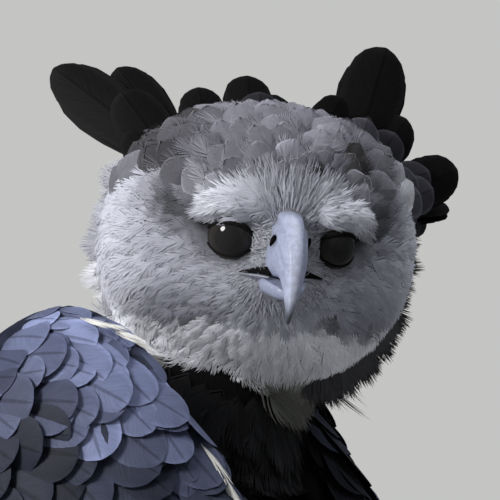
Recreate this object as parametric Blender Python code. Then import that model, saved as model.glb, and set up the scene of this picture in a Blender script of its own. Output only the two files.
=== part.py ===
"""A life-size harpy eagle that stands on its two feet and looks back over its left shoulder.

The bird faces -Y and its left side is +X. Lengths are in metres. The floor is at z = 0, and the whole bird is
shifted at the end so that the middle of its box is over the origin.
"""

import math

import bmesh
import bpy
import numpy as np
from mathutils import Matrix, Vector

MM = 0.001
GAP = 0.0003  # air between two parts that touch

HEAD_CENTRE = Vector((0.0, 0.0, 0.650))
HEAD_TURN = math.radians(122.0)  # from straight ahead towards the bird's left
HEAD_NOD = math.radians(8.0)  # bill down
HEAD_TILT = math.radians(-5.5)  # about the line of sight of an onlooker on its left
ONLOOKER = Vector((0.940, 0.342, 0.0))

EYE_PLACE = Vector((0.0218, -0.0392, 0.0084))  # in the head's own frame, left side
EYE_RADIUS = 0.0122
LEG_X = 0.068
HOCK_Z = 0.118
TAIL_ROOT = Vector((0.0, 0.135, 0.252))
TAIL_SLOPE = math.radians(36.0)
TAIL_LENGTH = 0.385

VANE_THICK = 0.0009
VANE_STEP = 0.0016  # from one feather to the one that it overlaps
CAMBER = 0.14  # how far a loose feather's edges drop, as a share of its half width
# Each row is how far along the feather a station is and its share of the half width.
BROAD_VANE = ((0.0, 0.42), (0.30, 0.84), (0.66, 1.0), (0.91, 0.72), (1.0, 0.26))
LONG_VANE = ((0.0, 0.55), (0.30, 0.90), (0.70, 1.0), (0.94, 0.78), (1.0, 0.28))
TAIL_VANE = ((0.0, 0.70), (0.30, 0.95), (0.70, 1.0), (0.94, 0.88), (1.0, 0.45))
LOCK = ((0.0, 0.70), (0.45, 1.0), (0.80, 0.80), (1.0, 0.25))

RUFF_LOCKS = 12
RUFF_START = 172.0  # degrees round the face, from its left side over the top
RUFF_END = 368.0
RUFF_REACH = 0.020
RUFF_DROP = 0.016  # how much further the locks under the chin reach

COLOURS = {
    "slate": ((0.075, 0.085, 0.125, 1.0), 0.55),
    "black": ((0.012, 0.012, 0.014, 1.0), 0.6),
    "grey": ((0.42, 0.43, 0.47, 1.0), 0.8),
    "white": ((0.75, 0.75, 0.74, 1.0), 0.8),
    "bill": ((0.36, 0.39, 0.47, 1.0), 0.3),
    "eye": ((0.020, 0.019, 0.018, 1.0), 0.05),
    "yellow_skin": ((0.62, 0.43, 0.10, 1.0), 0.55),
    "claw": ((0.015, 0.015, 0.017, 1.0), 0.25),
    "tail": ((0.09, 0.09, 0.11, 1.0), 0.55),
}


def clear_scene():
    for old in list(bpy.data.objects):
        bpy.data.objects.remove(old, do_unlink=True)
    for old in list(bpy.data.collections):
        bpy.data.collections.remove(old)


def new_collection(name):
    made = bpy.data.collections.new(name)
    bpy.context.scene.collection.children.link(made)
    return made


def make_materials():
    made = {}
    for name, (colour, roughness) in COLOURS.items():
        material = bpy.data.materials.new(name)
        material.use_nodes = True
        shader = material.node_tree.nodes["Principled BSDF"]
        shader.inputs["Base Color"].default_value = colour
        shader.inputs["Roughness"].default_value = roughness
        made[name] = material
    return made


def head_matrix():
    """The head's own frame, whose -Y looks along the bill, set into the bird."""
    turn = Matrix.Rotation(HEAD_TURN, 4, "Z") @ Matrix.Rotation(HEAD_NOD, 4, "X")
    tilt = Matrix.Rotation(HEAD_TILT, 4, ONLOOKER)
    return Matrix.Translation(HEAD_CENTRE) @ tilt @ turn


HEAD = head_matrix()


def smooth_rows(rows, count):
    """A smooth curve through rows of numbers, read at an even number of places."""
    rows = np.array(rows, float)
    last = len(rows) - 1
    found = []
    for place in np.linspace(0.0, last, count):
        i = min(int(place), last - 1)
        t = place - i
        before, start, end, after = (rows[min(max(k, 0), last)] for k in (i - 1, i, i + 1, i + 2))
        found.append(
            start
            + 0.5 * t * (end - before)
            + t * t * (before - 2.5 * start + 2.0 * end - 0.5 * after)
            + t * t * t * (1.5 * (start - end) + 0.5 * (after - before))
        )
    return np.array(found)


def new_object(name, mesh, place=None):
    made = bpy.data.objects.new(name, mesh)
    (place or PARTS).objects.link(made)
    return made


def closed_mesh(name, points, faces):
    """A mesh object whose faces are triangles that look outwards."""
    shell = bmesh.new()
    corners = [shell.verts.new(p) for p in points]
    for face in faces:
        shell.faces.new([corners[i] for i in face])
    bmesh.ops.recalc_face_normals(shell, faces=shell.faces)
    bmesh.ops.triangulate(shell, faces=shell.faces)
    mesh = bpy.data.meshes.new(name)
    shell.to_mesh(mesh)
    shell.free()
    return new_object(name, mesh)


def ring(centre, across, up, sides, power=1.0, underside=1.0):
    """Points round an oval. A power under 1 squares it, and underside scales its lower half."""
    points = []
    for k in range(sides):
        angle = 2.0 * math.pi * k / sides
        c, s = math.cos(angle), math.sin(angle)
        c, s = (math.copysign(abs(v) ** power, v) for v in (c, s))
        points.append(centre + across * c + up * (s if s > 0 else s * underside))
    return points


def loft(name, rings):
    """A closed tube through rings of equally many points, with a point in the middle of each end."""
    sides = len(rings[0])
    points = [p for r in rings for p in r]
    faces = []
    for i in range(len(rings) - 1):
        for k in range(sides):
            after = (k + 1) % sides
            low, high = i * sides, (i + 1) * sides
            faces.append((low + k, low + after, high + after, high + k))
    for first in (0, (len(rings) - 1) * sides):
        middle = sum((points[first + k] for k in range(sides)), Vector()) / sides
        points.append(middle)
        hub = len(points) - 1
        faces += [(first + k, first + (k + 1) % sides, hub) for k in range(sides)]
    return closed_mesh(name, points, faces)


def tube(name, rows, count, sides, side_way=None, power=1.0):
    """A loft along rows of (x, y, z, half width, half depth). Its width lies along side_way."""
    rows = smooth_rows(rows, count)
    centres = [Vector(r[:3]) for r in rows]
    rings = []
    for i, row in enumerate(rows):
        along = (centres[min(i + 1, count - 1)] - centres[max(i - 1, 0)]).normalized()
        side = side_way or Vector((1.0, 0.0, 0.0))
        side = (side - along * side.dot(along)).normalized()
        rings.append(ring(centres[i], side * row[3], along.cross(side) * row[4], sides, power))
    return loft(name, rings)


def ball(name, centre, sizes, turn=None, segments=16, rings=10):
    bpy.ops.mesh.primitive_uv_sphere_add(segments=segments, ring_count=rings, radius=1.0)
    made = bpy.context.object
    made.name = name
    made.data.name = name
    place = Matrix.Translation(centre) @ (turn or Matrix.Identity(4)) @ Matrix.Diagonal((*sizes, 1.0))
    made.data.transform(place)
    for owner in list(made.users_collection):
        owner.objects.unlink(made)
    PARTS.objects.link(made)
    return made


def vane(name, tops, bottoms):
    """A feather's blade: three points across its upper face and three across its lower face at each station.

    Both faces are split into triangles alike, so that a curved blade never crosses itself.
    """
    points, faces = [], []
    for over, under in zip(tops, bottoms):
        points += [*over, *under]
    stations = len(tops)
    for i in range(stations - 1):
        a, b = 6 * i, 6 * (i + 1)
        for left, right in ((0, 1), (1, 2), (3, 4), (4, 5), (0, 3), (2, 5)):
            faces.append((a + left, a + right, b + right))
            faces.append((a + left, b + right, b + left))
    for end in (0, 6 * (stations - 1)):
        faces += [(end, end + 1, end + 4, end + 3), (end + 1, end + 2, end + 5, end + 4)]
    return closed_mesh(name, points, faces)


def plume(name, root, tip, face, half_width, bend=0.0, shape=None, camber=CAMBER):
    """A straight or evenly bent feather from root to tip, with its broad side towards face."""
    along = (tip - root).normalized()
    up = (face - along * face.dot(along)).normalized()
    side = along.cross(up)
    tops, bottoms = [], []
    for share, wide in shape or BROAD_VANE:
        middle = root + (tip - root) * share + up * bend * share * share
        width = half_width * wide
        across = [middle + side * width * k - up * (camber * width * abs(k)) for k in (-1, 0, 1)]
        tops.append([p + up * VANE_THICK / 2 for p in across])
        bottoms.append([p - up * VANE_THICK / 2 for p in across])
    return vane(name, tops, bottoms)


def grown(source, by=GAP):
    """A copy whose surface stands that far outside the source's."""
    mesh = source.data.copy()
    normals = [v.normal.copy() for v in mesh.vertices]
    for vertex, normal in zip(mesh.vertices, normals):
        vertex.co += normal * by
    return new_object(source.name + "_grown", mesh, CUTTERS)


def boolean(target, others, operation, solver="MANIFOLD"):
    """One Boolean of the target with closed objects, applied. The others are then removed."""
    group = bpy.data.collections.new("operands")
    bpy.context.scene.collection.children.link(group)
    for other in others:
        group.objects.link(other)
    step = target.modifiers.new("join", "BOOLEAN")
    step.operation = operation
    step.operand_type = "COLLECTION"
    step.collection = group
    step.solver = solver
    bpy.context.view_layer.update()
    evaluated = target.evaluated_get(bpy.context.evaluated_depsgraph_get())
    mesh = bpy.data.meshes.new_from_object(evaluated)
    target.modifiers.clear()
    old = target.data
    target.data = mesh
    bpy.data.meshes.remove(old)
    for other in others:
        bpy.data.objects.remove(other, do_unlink=True)
    bpy.data.collections.remove(group)
    return target


def keep_largest(target):
    """Keeps the closed surface with the most volume and drops any scrap or sealed hollow."""
    shell = bmesh.new()
    shell.from_mesh(target.data)
    bmesh.ops.triangulate(shell, faces=shell.faces)
    unseen = set(shell.faces)
    islands = []
    while unseen:
        island, edge_of = set(), [unseen.pop()]
        while edge_of:
            face = edge_of.pop()
            island.add(face)
            for edge in face.edges:
                if len(edge.link_faces) != 2:
                    continue
                for near in edge.link_faces:
                    if near in unseen:
                        unseen.remove(near)
                        edge_of.append(near)
        islands.append(island)

    def volume(island):
        corners = [[v.co for v in face.verts] for face in island]
        return sum(a.dot(b.cross(c)) for a, b, c in corners) / 6.0

    islands.sort(key=volume, reverse=True)
    scraps = [face for island in islands[1:] for face in island]
    bmesh.ops.delete(shell, geom=scraps, context="FACES")
    bmesh.ops.dissolve_degenerate(shell, dist=1e-6, edges=shell.edges)
    shell.to_mesh(target.data)
    shell.free()
    return target


def cut_clear(target, neighbours):
    """Cuts the target back to a thin gap from each neighbour."""
    for neighbour in neighbours:
        boolean(target, [grown(neighbour)], "DIFFERENCE")
    return keep_largest(target)


def torso():
    """An oval body, wide at the shoulders, from the root of the tail up to the foot of the neck."""
    spine = [
        (0, 0.150, 0.238, 0.026, 0.022),
        (0, 0.130, 0.262, 0.046, 0.042),
        (0, 0.088, 0.310, 0.078, 0.070),
        (0, 0.037, 0.366, 0.100, 0.086),
        (0, -0.012, 0.430, 0.112, 0.090),
        (0, -0.044, 0.488, 0.109, 0.083),
        (0, -0.058, 0.524, 0.093, 0.068),
        (0, -0.063, 0.548, 0.070, 0.052),
        (0, -0.065, 0.562, 0.038, 0.031),
    ]
    return tube("torso", spine, 12, 22)


def neck():
    """A thick feathered neck that rises out of the shoulders into the underside of the head."""
    rows = [
        (0, -0.050, 0.520, 0.068, 0.060),
        (-0.006, -0.044, 0.552, 0.064, 0.061),
        (-0.018, -0.034, 0.588, 0.054, 0.050),
        (-0.018, -0.018, 0.625, 0.044, 0.042),
    ]
    return tube("neck", rows, 5, 20)


def head_core():
    """The feathered head: a deep round disc behind a short face, in rings from the bill to the nape."""
    # Each row is how far back the ring is, its half width, its top and its bottom.
    rows = [
        (-0.0530, 0.009, 0.019, -0.004),
        (-0.0500, 0.019, 0.030, -0.019),
        (-0.0430, 0.034, 0.043, -0.034),
        (-0.0330, 0.049, 0.053, -0.047),
        (-0.0200, 0.063, 0.060, -0.059),
        (-0.0050, 0.072, 0.063, -0.066),
        (0.0100, 0.073, 0.062, -0.067),
        (0.0260, 0.066, 0.057, -0.061),
        (0.0420, 0.052, 0.047, -0.050),
        (0.0540, 0.034, 0.033, -0.034),
        (0.0600, 0.014, 0.016, -0.012),
    ]
    rings = []
    for back, width, top, bottom in smooth_rows(rows, 14):
        middle = Vector((0.0, back, (top + bottom) / 2.0))
        up = Vector((0.0, 0.0, (top - bottom) / 2.0))
        points = ring(middle, Vector((width, 0.0, 0.0)), up, 24, 0.92)
        rings.append([HEAD @ p for p in points])
    return loft("head", rings)


def eye_centre(side):
    return HEAD @ Vector((side * EYE_PLACE.x, EYE_PLACE.y, EYE_PLACE.z))


def eye(name, side):
    return ball(name, eye_centre(side), (EYE_RADIUS,) * 3, segments=16, rings=10)


def brow_and_lids(side):
    """The ridge over an eye and the raised rims of its lids."""
    outward = math.radians(26.0) * side
    look = HEAD.to_3x3().to_4x4() @ Matrix.Rotation(outward, 4, "Z")
    brow_centre = HEAD @ Vector((side * 0.0255, -0.0435, 0.0215))
    brow = ball("brow", brow_centre, (0.0175, 0.0085, 0.0060), look, 10, 6)
    rings = []
    lid_sides, lid_turns, lid_radius, lid_thick = 5, 14, 0.0118, 0.0017
    for k in range(lid_turns):
        angle = 2.0 * math.pi * k / lid_turns
        out = Vector((math.cos(angle), 0.0, math.sin(angle) * 0.80))
        middle = out * lid_radius + Vector((0.0, -0.0072, 0.0))
        points = [
            middle + out * math.cos(a) * lid_thick + Vector((0, 1, 0)) * math.sin(a) * lid_thick * 2.0
            for a in (2.0 * math.pi * m / lid_sides for m in range(lid_sides))
        ]
        rings.append([Matrix.Translation(eye_centre(side)) @ look @ p for p in points])
    points = [p for r in rings for p in r]
    faces = []
    for k in range(lid_turns):
        for m in range(lid_sides):
            here, there = k * lid_sides, ((k + 1) % lid_turns) * lid_sides
            after = (m + 1) % lid_sides
            faces.append((here + m, here + after, there + after, there + m))
    return [brow, closed_mesh("lids", points, faces)]


def bill_ring(top, bottom, half_width, ridge):
    """One section of the bill: a narrow ridge above, full cheeks and a narrower cutting edge."""
    top, bottom = Vector((0.0, *top)), Vector((0.0, *bottom))
    height = bottom - top
    outline = [(0.0, 0.0), (ridge, 0.06), (0.80, 0.30), (1.0, 0.58), (0.92, 0.84), (0.62, 1.0)]
    right = [top + height * down + Vector((half_width * out, 0, 0)) for out, down in outline]
    left = [Vector((-p.x, p.y, p.z)) for p in reversed(right[1:])]
    return [HEAD @ p for p in right + left]


def bill_upper():
    """The hooked upper bill. Each row: culmen (y, z), cutting edge (y, z), half width, ridge."""
    rows = [
        (-0.0440, 0.0240, -0.0400, -0.0060, 0.0098, 0.60),
        (-0.0530, 0.0230, -0.0480, -0.0060, 0.0094, 0.58),
        (-0.0625, 0.0195, -0.0570, -0.0055, 0.0084, 0.55),
        (-0.0710, 0.0120, -0.0640, -0.0050, 0.0070, 0.52),
        (-0.0765, 0.0030, -0.0690, -0.0070, 0.0053, 0.52),
        (-0.0785, -0.0070, -0.0715, -0.0120, 0.0036, 0.52),
        (-0.0775, -0.0160, -0.0730, -0.0175, 0.0021, 0.55),
        (-0.0748, -0.0235, -0.0738, -0.0236, 0.0007, 0.60),
    ]
    rings = [
        bill_ring((a, b), (c, d), width, ridge) for a, b, c, d, width, ridge in smooth_rows(rows, 12)
    ]
    made = loft("bill_upper", rings)
    nostrils = []
    for side in (1, -1):
        slit = ball("nostril", Vector(), (0.0022, 0.0042, 0.0017), segments=10, rings=6)
        lean = Matrix.Rotation(math.radians(-50.0), 4, "X")
        slit.data.transform(HEAD @ Matrix.Translation((side * 0.0080, -0.0585, 0.0105)) @ lean)
        nostrils.append(slit)
    return boolean(made, nostrils, "DIFFERENCE")


def bill_lower():
    """The short lower bill, which closes just inside the hook."""
    rows = [
        (-0.0400, -0.0075, 0.0100, 0.0110),
        (-0.0520, -0.0080, 0.0088, 0.0100),
        (-0.0620, -0.0082, 0.0070, 0.0085),
        (-0.0680, -0.0088, 0.0048, 0.0064),
        (-0.0705, -0.0100, 0.0026, 0.0036),
    ]
    rings = []
    for y, top, width, depth in smooth_rows(rows, 7):
        points = ring(Vector((0, y, top)), Vector((width, 0, 0)), Vector((0, 0, depth)), 12)
        rings.append([HEAD @ Vector((p.x, p.y, min(p.z, top))) for p in points])
    return loft("bill_lower", rings)


def mouth_line(side):
    """The slit of the mouth, which runs back from the bill to under the eye."""
    rows = [
        (side * 0.0085, -0.0600, -0.0068, 0.0030, 0.0007),
        (side * 0.0150, -0.0520, -0.0070, 0.0040, 0.0007),
        (side * 0.0205, -0.0450, -0.0080, 0.0030, 0.0005),
    ]
    made = tube("mouth_line", rows, 4, 8, Vector((side * 0.7, -0.7, 0.0)))
    made.data.transform(HEAD)
    return made


def crest():
    """The raised crest, feather by feather: a loose fan round the back of the crown and a drape at the nape.

    Each row, in millimetres in the head's frame: root, tip and half width. The bill looks along -Y.
    """
    rows = [
        ((-37, 36, 29), (-93, 75, 64), 13.0),
        ((-33, 43, 30), (-62, 79, 67), 12.0),
        ((-36, 25, 25), (-65, 45, 59), 12.8),
        ((-38, 15, 20), (-64, 27, 42), 8.5),
        ((-32, 14, 26), (-53, 22, 47), 8.5),
        ((-22, 33, 37), (-28, 51, 64), 10.8),
        ((-5, 31, 47), (-6, 48, 72), 11.2),
        ((20, 11, 47), (33, 19, 69), 8.2),
        ((41, 19, 38), (58, 47, 92), 15.0),
        ((49, 21, 34), (68, 33, 61), 10.5),
        ((56, 9, 26), (93, 22, 41), 11.5),
        ((60, 14, 19), (91, 33, 25), 9.5),
        ((-47, 34, 10), (-66, 53, 21), 8.0),
        ((-20, 50, 24), (-34, 92, 30), 12.0),
        ((0, 53, 20), (2, 99, 14), 13.0),
        ((22, 50, 22), (40, 90, 26), 12.0),
        ((10, 44, 36), (16, 80, 62), 12.5),
    ]
    made = []
    for root, tip, half_width in rows:
        root, tip = Vector(root) * MM, Vector(tip) * MM
        # The upright feathers show their flat side to the front, the draped ones theirs to the sky.
        face = Vector((0.0, -1.0, 0.25)) if tip.z - root.z > 0.010 else Vector((0.0, -0.3, 1.0))
        feather = plume("crest", root, tip, face, half_width * MM, bend=-0.004)
        feather.data.transform(HEAD)
        made.append(feather)
    return made


def ruff():
    """The fringe of broad locks that closes the face's disc behind, round its cheeks and chin."""
    made = []
    for k in range(RUFF_LOCKS):
        angle = math.radians(RUFF_START + (RUFF_END - RUFF_START) * k / (RUFF_LOCKS - 1))
        out = Vector((math.cos(angle), 0.0, math.sin(angle)))
        forward = 0.034 * max(-out.z, 0.0)
        root = Vector((out.x * 0.058, 0.016 - forward, out.z * 0.052 - 0.002))
        reach = RUFF_REACH + RUFF_DROP * max(-out.z, 0.0)
        tip = root + out * reach + Vector((0.0, 0.020, -0.002))
        lock = plume("ruff", root, tip, Vector((0.0, -1.0, 0.0)), 0.0125, bend=-0.003, shape=LOCK)
        lock.data.transform(HEAD)
        made.append(lock)
    return made


def wing_rows(side):
    """Stations of a folded wing: middle, half height, half thickness and how far it faces the back."""
    rows = [
        (0.066, -0.064, 0.620, 0.008, 0.006, 0),
        (0.074, -0.064, 0.611, 0.030, 0.020, 2),
        (0.081, -0.064, 0.594, 0.048, 0.031, 4),
        (0.087, -0.064, 0.568, 0.064, 0.038, 7),
        (0.091, -0.060, 0.534, 0.075, 0.040, 12),
        (0.091, -0.040, 0.488, 0.081, 0.038, 18),
        (0.086, -0.002, 0.434, 0.081, 0.032, 28),
        (0.077, 0.046, 0.381, 0.074, 0.025, 39),
        (0.065, 0.094, 0.331, 0.060, 0.017, 49),
        (0.052, 0.141, 0.284, 0.041, 0.009, 57),
        (0.043, 0.181, 0.247, 0.023, 0.004, 62),
        (0.038, 0.205, 0.229, 0.012, 0.003, 64),
    ]
    return [(side * x, *rest) for x, *rest in rows]


class WingShape:
    """The outer face of a folded wing, read by how far along it and how far across it a point is."""

    def __init__(self, side, count=61):
        self.side = side
        self.rows = smooth_rows(wing_rows(side), count)
        self.count = count

    def frame(self, along_share):
        """Middle, outward and upward directions, half height and half thickness at a share of the length."""
        place = min(max(along_share, 0.0), 1.0) * (self.count - 1)
        i = min(int(place), self.count - 2)
        row = self.rows[i] + (self.rows[i + 1] - self.rows[i]) * (place - i)
        low, high = max(i - 1, 0), min(i + 2, self.count - 1)
        along = Vector(self.rows[high][:3] - self.rows[low][:3]).normalized()
        middle = Vector(row[:3]) + along * (WING_LENGTH * max(along_share - 1.0, 0.0))
        out = Vector((self.side, 0.0, 0.0))
        out = (out - along * out.dot(along)).normalized()
        out = Matrix.Rotation(-math.radians(row[5]) * self.side, 3, along) @ out
        return middle, out, out.cross(along) * self.side, row[3], row[4]

    def point(self, along_share, across, height):
        """A point over the face. Across runs from -1 at the lower edge to 1 at the upper edge."""
        middle, out, up, tall, thick = self.frame(along_share)
        tall, thick = max(tall, LEAST_TALL), max(thick, LEAST_THICK)
        across = min(max(across, -0.98), 0.98)
        bulge = math.sqrt(1.0 - across * across)
        normal = (up * (across / tall) + out * (bulge / thick)).normalized()
        return middle + up * (tall * across) + out * (thick * bulge) + normal * height

    def tier(self, name, count, starts, ends, half_width, heights):
        """A row of vanes over the face, shingled so that each lies with its upper edge under the next one.

        Starts and ends hold (along, across) for the lowest and for the highest feather. Heights are those of
        the vane's middle line over the face at each station of LONG_VANE, the first of them inside the wing.
        """
        made = []
        for i in range(count):
            share = i / (count - 1)
            start, end = ([a + (b - a) * share for a, b in zip(*pair)] for pair in (starts, ends))
            tops, bottoms = [], []
            for (place, wide), height in zip(LONG_VANE, heights):
                along = start[0] + (end[0] - start[0]) * place
                middle = start[1] + (end[1] - start[1]) * place
                tall = max(self.frame(along)[3], LEAST_TALL)
                reach = (starts[1][1] - starts[0][1]) * (1 - place) + (ends[1][1] - ends[0][1]) * place
                slope = min(VANE_STEP * (count - 1) / (reach * tall), 0.30)
                edges = [half_width * wide * k for k in (-1, 0, 1)]
                for points, drop in ((tops, 0.0), (bottoms, VANE_THICK)):
                    levels = [height - slope * edge - drop for edge in edges]
                    points.append([self.point(along, middle + e / tall, z) for e, z in zip(edges, levels)])
            made.append(vane(name, tops, bottoms))
        return made


WING_LENGTH = 0.50
LEAST_TALL = 0.028  # the feathers' own section stays this full where the wing's flesh tapers out
LEAST_THICK = 0.006
# Each tier of a wing: how many feathers, the (along, across) of the first and last root and of the first and
# last tip, the half width and the heights over the wing's face from root to tip.
WING_TIERS = {
    "primary": (5, ((0.66, -0.70), (0.68, 0.10)), ((1.10, -0.50), (1.01, 0.55)), 0.014,
                (-0.0050, -0.0005, 0.0015, 0.0015, 0.0015)),
    "secondary": (6, ((0.54, -0.72), (0.54, 0.72)), ((0.89, -0.66), (0.86, 0.76)), 0.018,
                  (-0.0050, 0.0015, 0.0045, 0.0050, 0.0050)),
    "greater_covert": (6, ((0.43, -0.74), (0.42, 0.74)), ((0.67, -0.74), (0.64, 0.76)), 0.017,
                       (-0.0050, 0.0030, 0.0072, 0.0078, 0.0078)),
    "scapular": (4, ((0.33, 0.28), (0.31, 0.78)), ((0.57, 0.24), (0.54, 0.80)), 0.018,
                 (-0.0050, 0.0040, 0.0092, 0.0105, 0.0108)),
}


def wing(name, side):
    """A folded wing: a thick lens that hugs the flank, with its flight feathers and coverts in tiers."""
    shape = WingShape(side)
    rings = []
    core_rings, core_sides = 14, 12
    for k in range(core_rings):
        middle, out, up, tall, thick = shape.frame(k / (core_rings - 1))
        rings.append(ring(middle, up * tall, out * thick, core_sides))
    feathers = []
    for tier, sizes in WING_TIERS.items():
        feathers += shape.tier(tier, *sizes)
    return keep_largest(boolean(loft(name, rings), feathers, "UNION"))


TAIL_PAIRS = 6
TAIL_SPREAD = math.radians(8.5)
TAIL_STEP = 0.0026


def tail():
    """The long tail: a tapering root with twelve long feathers fanned in a stack, the middle pair on top."""
    along = Vector((0.0, math.cos(TAIL_SLOPE), -math.sin(TAIL_SLOPE)))
    above = Vector((0.0, math.sin(TAIL_SLOPE), math.cos(TAIL_SLOPE)))
    rows = [(-0.02, 0.030, 0.020), (0.06, 0.034, 0.020), (0.16, 0.036, 0.014), (0.24, 0.032, 0.005)]
    rings = []
    for share, width, thick in smooth_rows(rows, 5):
        middle = TAIL_ROOT + along * (TAIL_LENGTH * share)
        rings.append(ring(middle, Vector((width, 0, 0)), above * thick, 14))
    feathers = []
    for rank in range(TAIL_PAIRS):
        for side in (1, -1):
            turn = Matrix.Rotation(side * TAIL_SPREAD * (rank + 0.35) / (TAIL_PAIRS - 0.65), 3, above)
            aside = Vector((side * (0.003 + 0.0040 * rank), 0.0, 0.0))
            height = TAIL_STEP * (3.0 - rank) + (TAIL_STEP / 2.0 if side > 0 else 0.0)
            root = TAIL_ROOT + along * 0.030 + aside + above * height
            tip = root + turn @ along * (TAIL_LENGTH - 0.030 - 0.0035 * rank)
            feathers.append(plume("tail_feather", root, tip, above, 0.026, shape=TAIL_VANE, camber=0.0))
    return keep_largest(boolean(loft("tail", rings), feathers, "UNION"))


def thigh(name, side):
    """The feathered upper leg, from inside the belly down to the hock."""
    x = side * LEG_X
    rows = [
        (side * 0.050, 0.010, 0.350, 0.050, 0.062),
        (side * 0.060, -0.010, 0.295, 0.055, 0.070),
        (x, -0.014, 0.235, 0.050, 0.064),
        (x, 0.002, 0.178, 0.040, 0.050),
        (x, 0.018, 0.130, 0.029, 0.034),
        (x, 0.020, 0.100, 0.021, 0.024),
    ]
    return tube(name, rows, 8, 14)


def shank(name, side):
    """The bare scaly leg between hock and toes."""
    x = side * LEG_X
    rows = [
        (x, 0.022, HOCK_Z + 0.006, 0.0170, 0.0180),
        (x, 0.016, 0.090, 0.0155, 0.0165),
        (x, 0.006, 0.055, 0.0145, 0.0155),
        (x, 0.000, 0.020, 0.0160, 0.0170),
    ]
    return tube(name, rows, 5, 12)


# Each toe: its heading from straight ahead to the outside, its length, its thickness and its claw's length.
TOES = {
    "inner": (-34.0, 0.060, 0.0125, 0.050),
    "middle": (4.0, 0.088, 0.0125, 0.044),
    "outer": (44.0, 0.068, 0.0110, 0.036),
    "hind": (172.0, 0.050, 0.0135, 0.062),
}
# How far along a toe a ring is, how full it is and how high its middle is: a pad, a waist and a pad.
TOE_SHAPE = (
    (0.0, 1.0, 0.016), (0.30, 0.98, 0.010), (0.52, 0.86, 0.009),
    (0.75, 0.95, 0.009), (0.93, 0.80, 0.009), (1.0, 0.45, 0.009),
)
FOOT_PLACE = Vector((LEG_X, -0.002, 0.0))
CLAW_STEPS = 7
CLAW_FIRST_BEND = -38.0
CLAW_BEND = 118.0
CLAW_CLEAR = 0.0006  # from a talon's point to the floor


def toe_way(toe, side):
    heading = math.radians(TOES[toe][0])
    return Vector((side * math.sin(heading), -math.cos(heading), 0.0))


def foot(name, side):
    """Four thick toes on flat pads round the end of the shank."""
    start = Vector((side * FOOT_PLACE.x, FOOT_PLACE.y, 0.0))
    pieces = []
    for toe, (_, length, thick, _) in TOES.items():
        way = toe_way(toe, side)
        across = Vector((-way.y, way.x, 0.0))
        rings = []
        for share, swell, lift in TOE_SHAPE:
            middle = start + way * (length * share) + Vector((0, 0, lift))
            rings.append(ring(middle, across * thick * swell, Vector((0, 0, thick * swell * 0.92)), 7))
        pieces.append(loft(toe, rings))
    ankle = ball(name, start + Vector((0, 0.001, 0.019)), (0.0175, 0.0185, 0.019), None, 10, 7)
    boolean(ankle, pieces, "UNION")
    bpy.ops.mesh.primitive_cube_add(size=0.5, location=(start.x, start.y, -0.25))
    floor = bpy.context.object
    boolean(ankle, [floor], "DIFFERENCE")
    return keep_largest(ankle)


def claw(name, side, toe):
    """A long curved talon, thick at its root, that comes down to just above the floor."""
    _, length, thick, reach = TOES[toe]
    start = Vector((side * FOOT_PLACE.x, FOOT_PLACE.y, 0.0))
    way = toe_way(toe, side)
    across = Vector((-way.y, way.x, 0.0))
    upright = Vector((0.0, 0.0, 1.0))
    root = start + way * (length * 0.93) + upright * 0.0105
    radius = reach * 0.56
    first_bend = math.radians(CLAW_FIRST_BEND)
    rings = []
    for k in range(CLAW_STEPS):
        share = k / (CLAW_STEPS - 1)
        # The talon follows an arc that leaves the toe slightly upwards and turns down to its point.
        bend = first_bend + math.radians(CLAW_BEND) * share
        forward = radius * (math.sin(bend) - math.sin(first_bend))
        rise = radius * (math.cos(bend) - math.cos(first_bend))
        size = thick * 0.62 * (1.0 - share) ** 0.75 + 0.0006
        up = way * math.sin(bend) + upright * math.cos(bend)
        rings.append(ring(root + way * forward + upright * rise, across * size * 0.85, up * size, 6))
    lowest = min(p.z for r in rings for p in r)
    for k, points in enumerate(rings):
        for p in points:
            p.z += (CLAW_CLEAR - lowest) * k / (CLAW_STEPS - 1)
    return loft(name, rings)


def set_origin(part):
    """Puts the object's origin in the middle of its mesh."""
    middle = sum((v.co for v in part.data.vertices), Vector()) / len(part.data.vertices)
    part.data.transform(Matrix.Translation(-middle))
    part.location = middle


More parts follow.
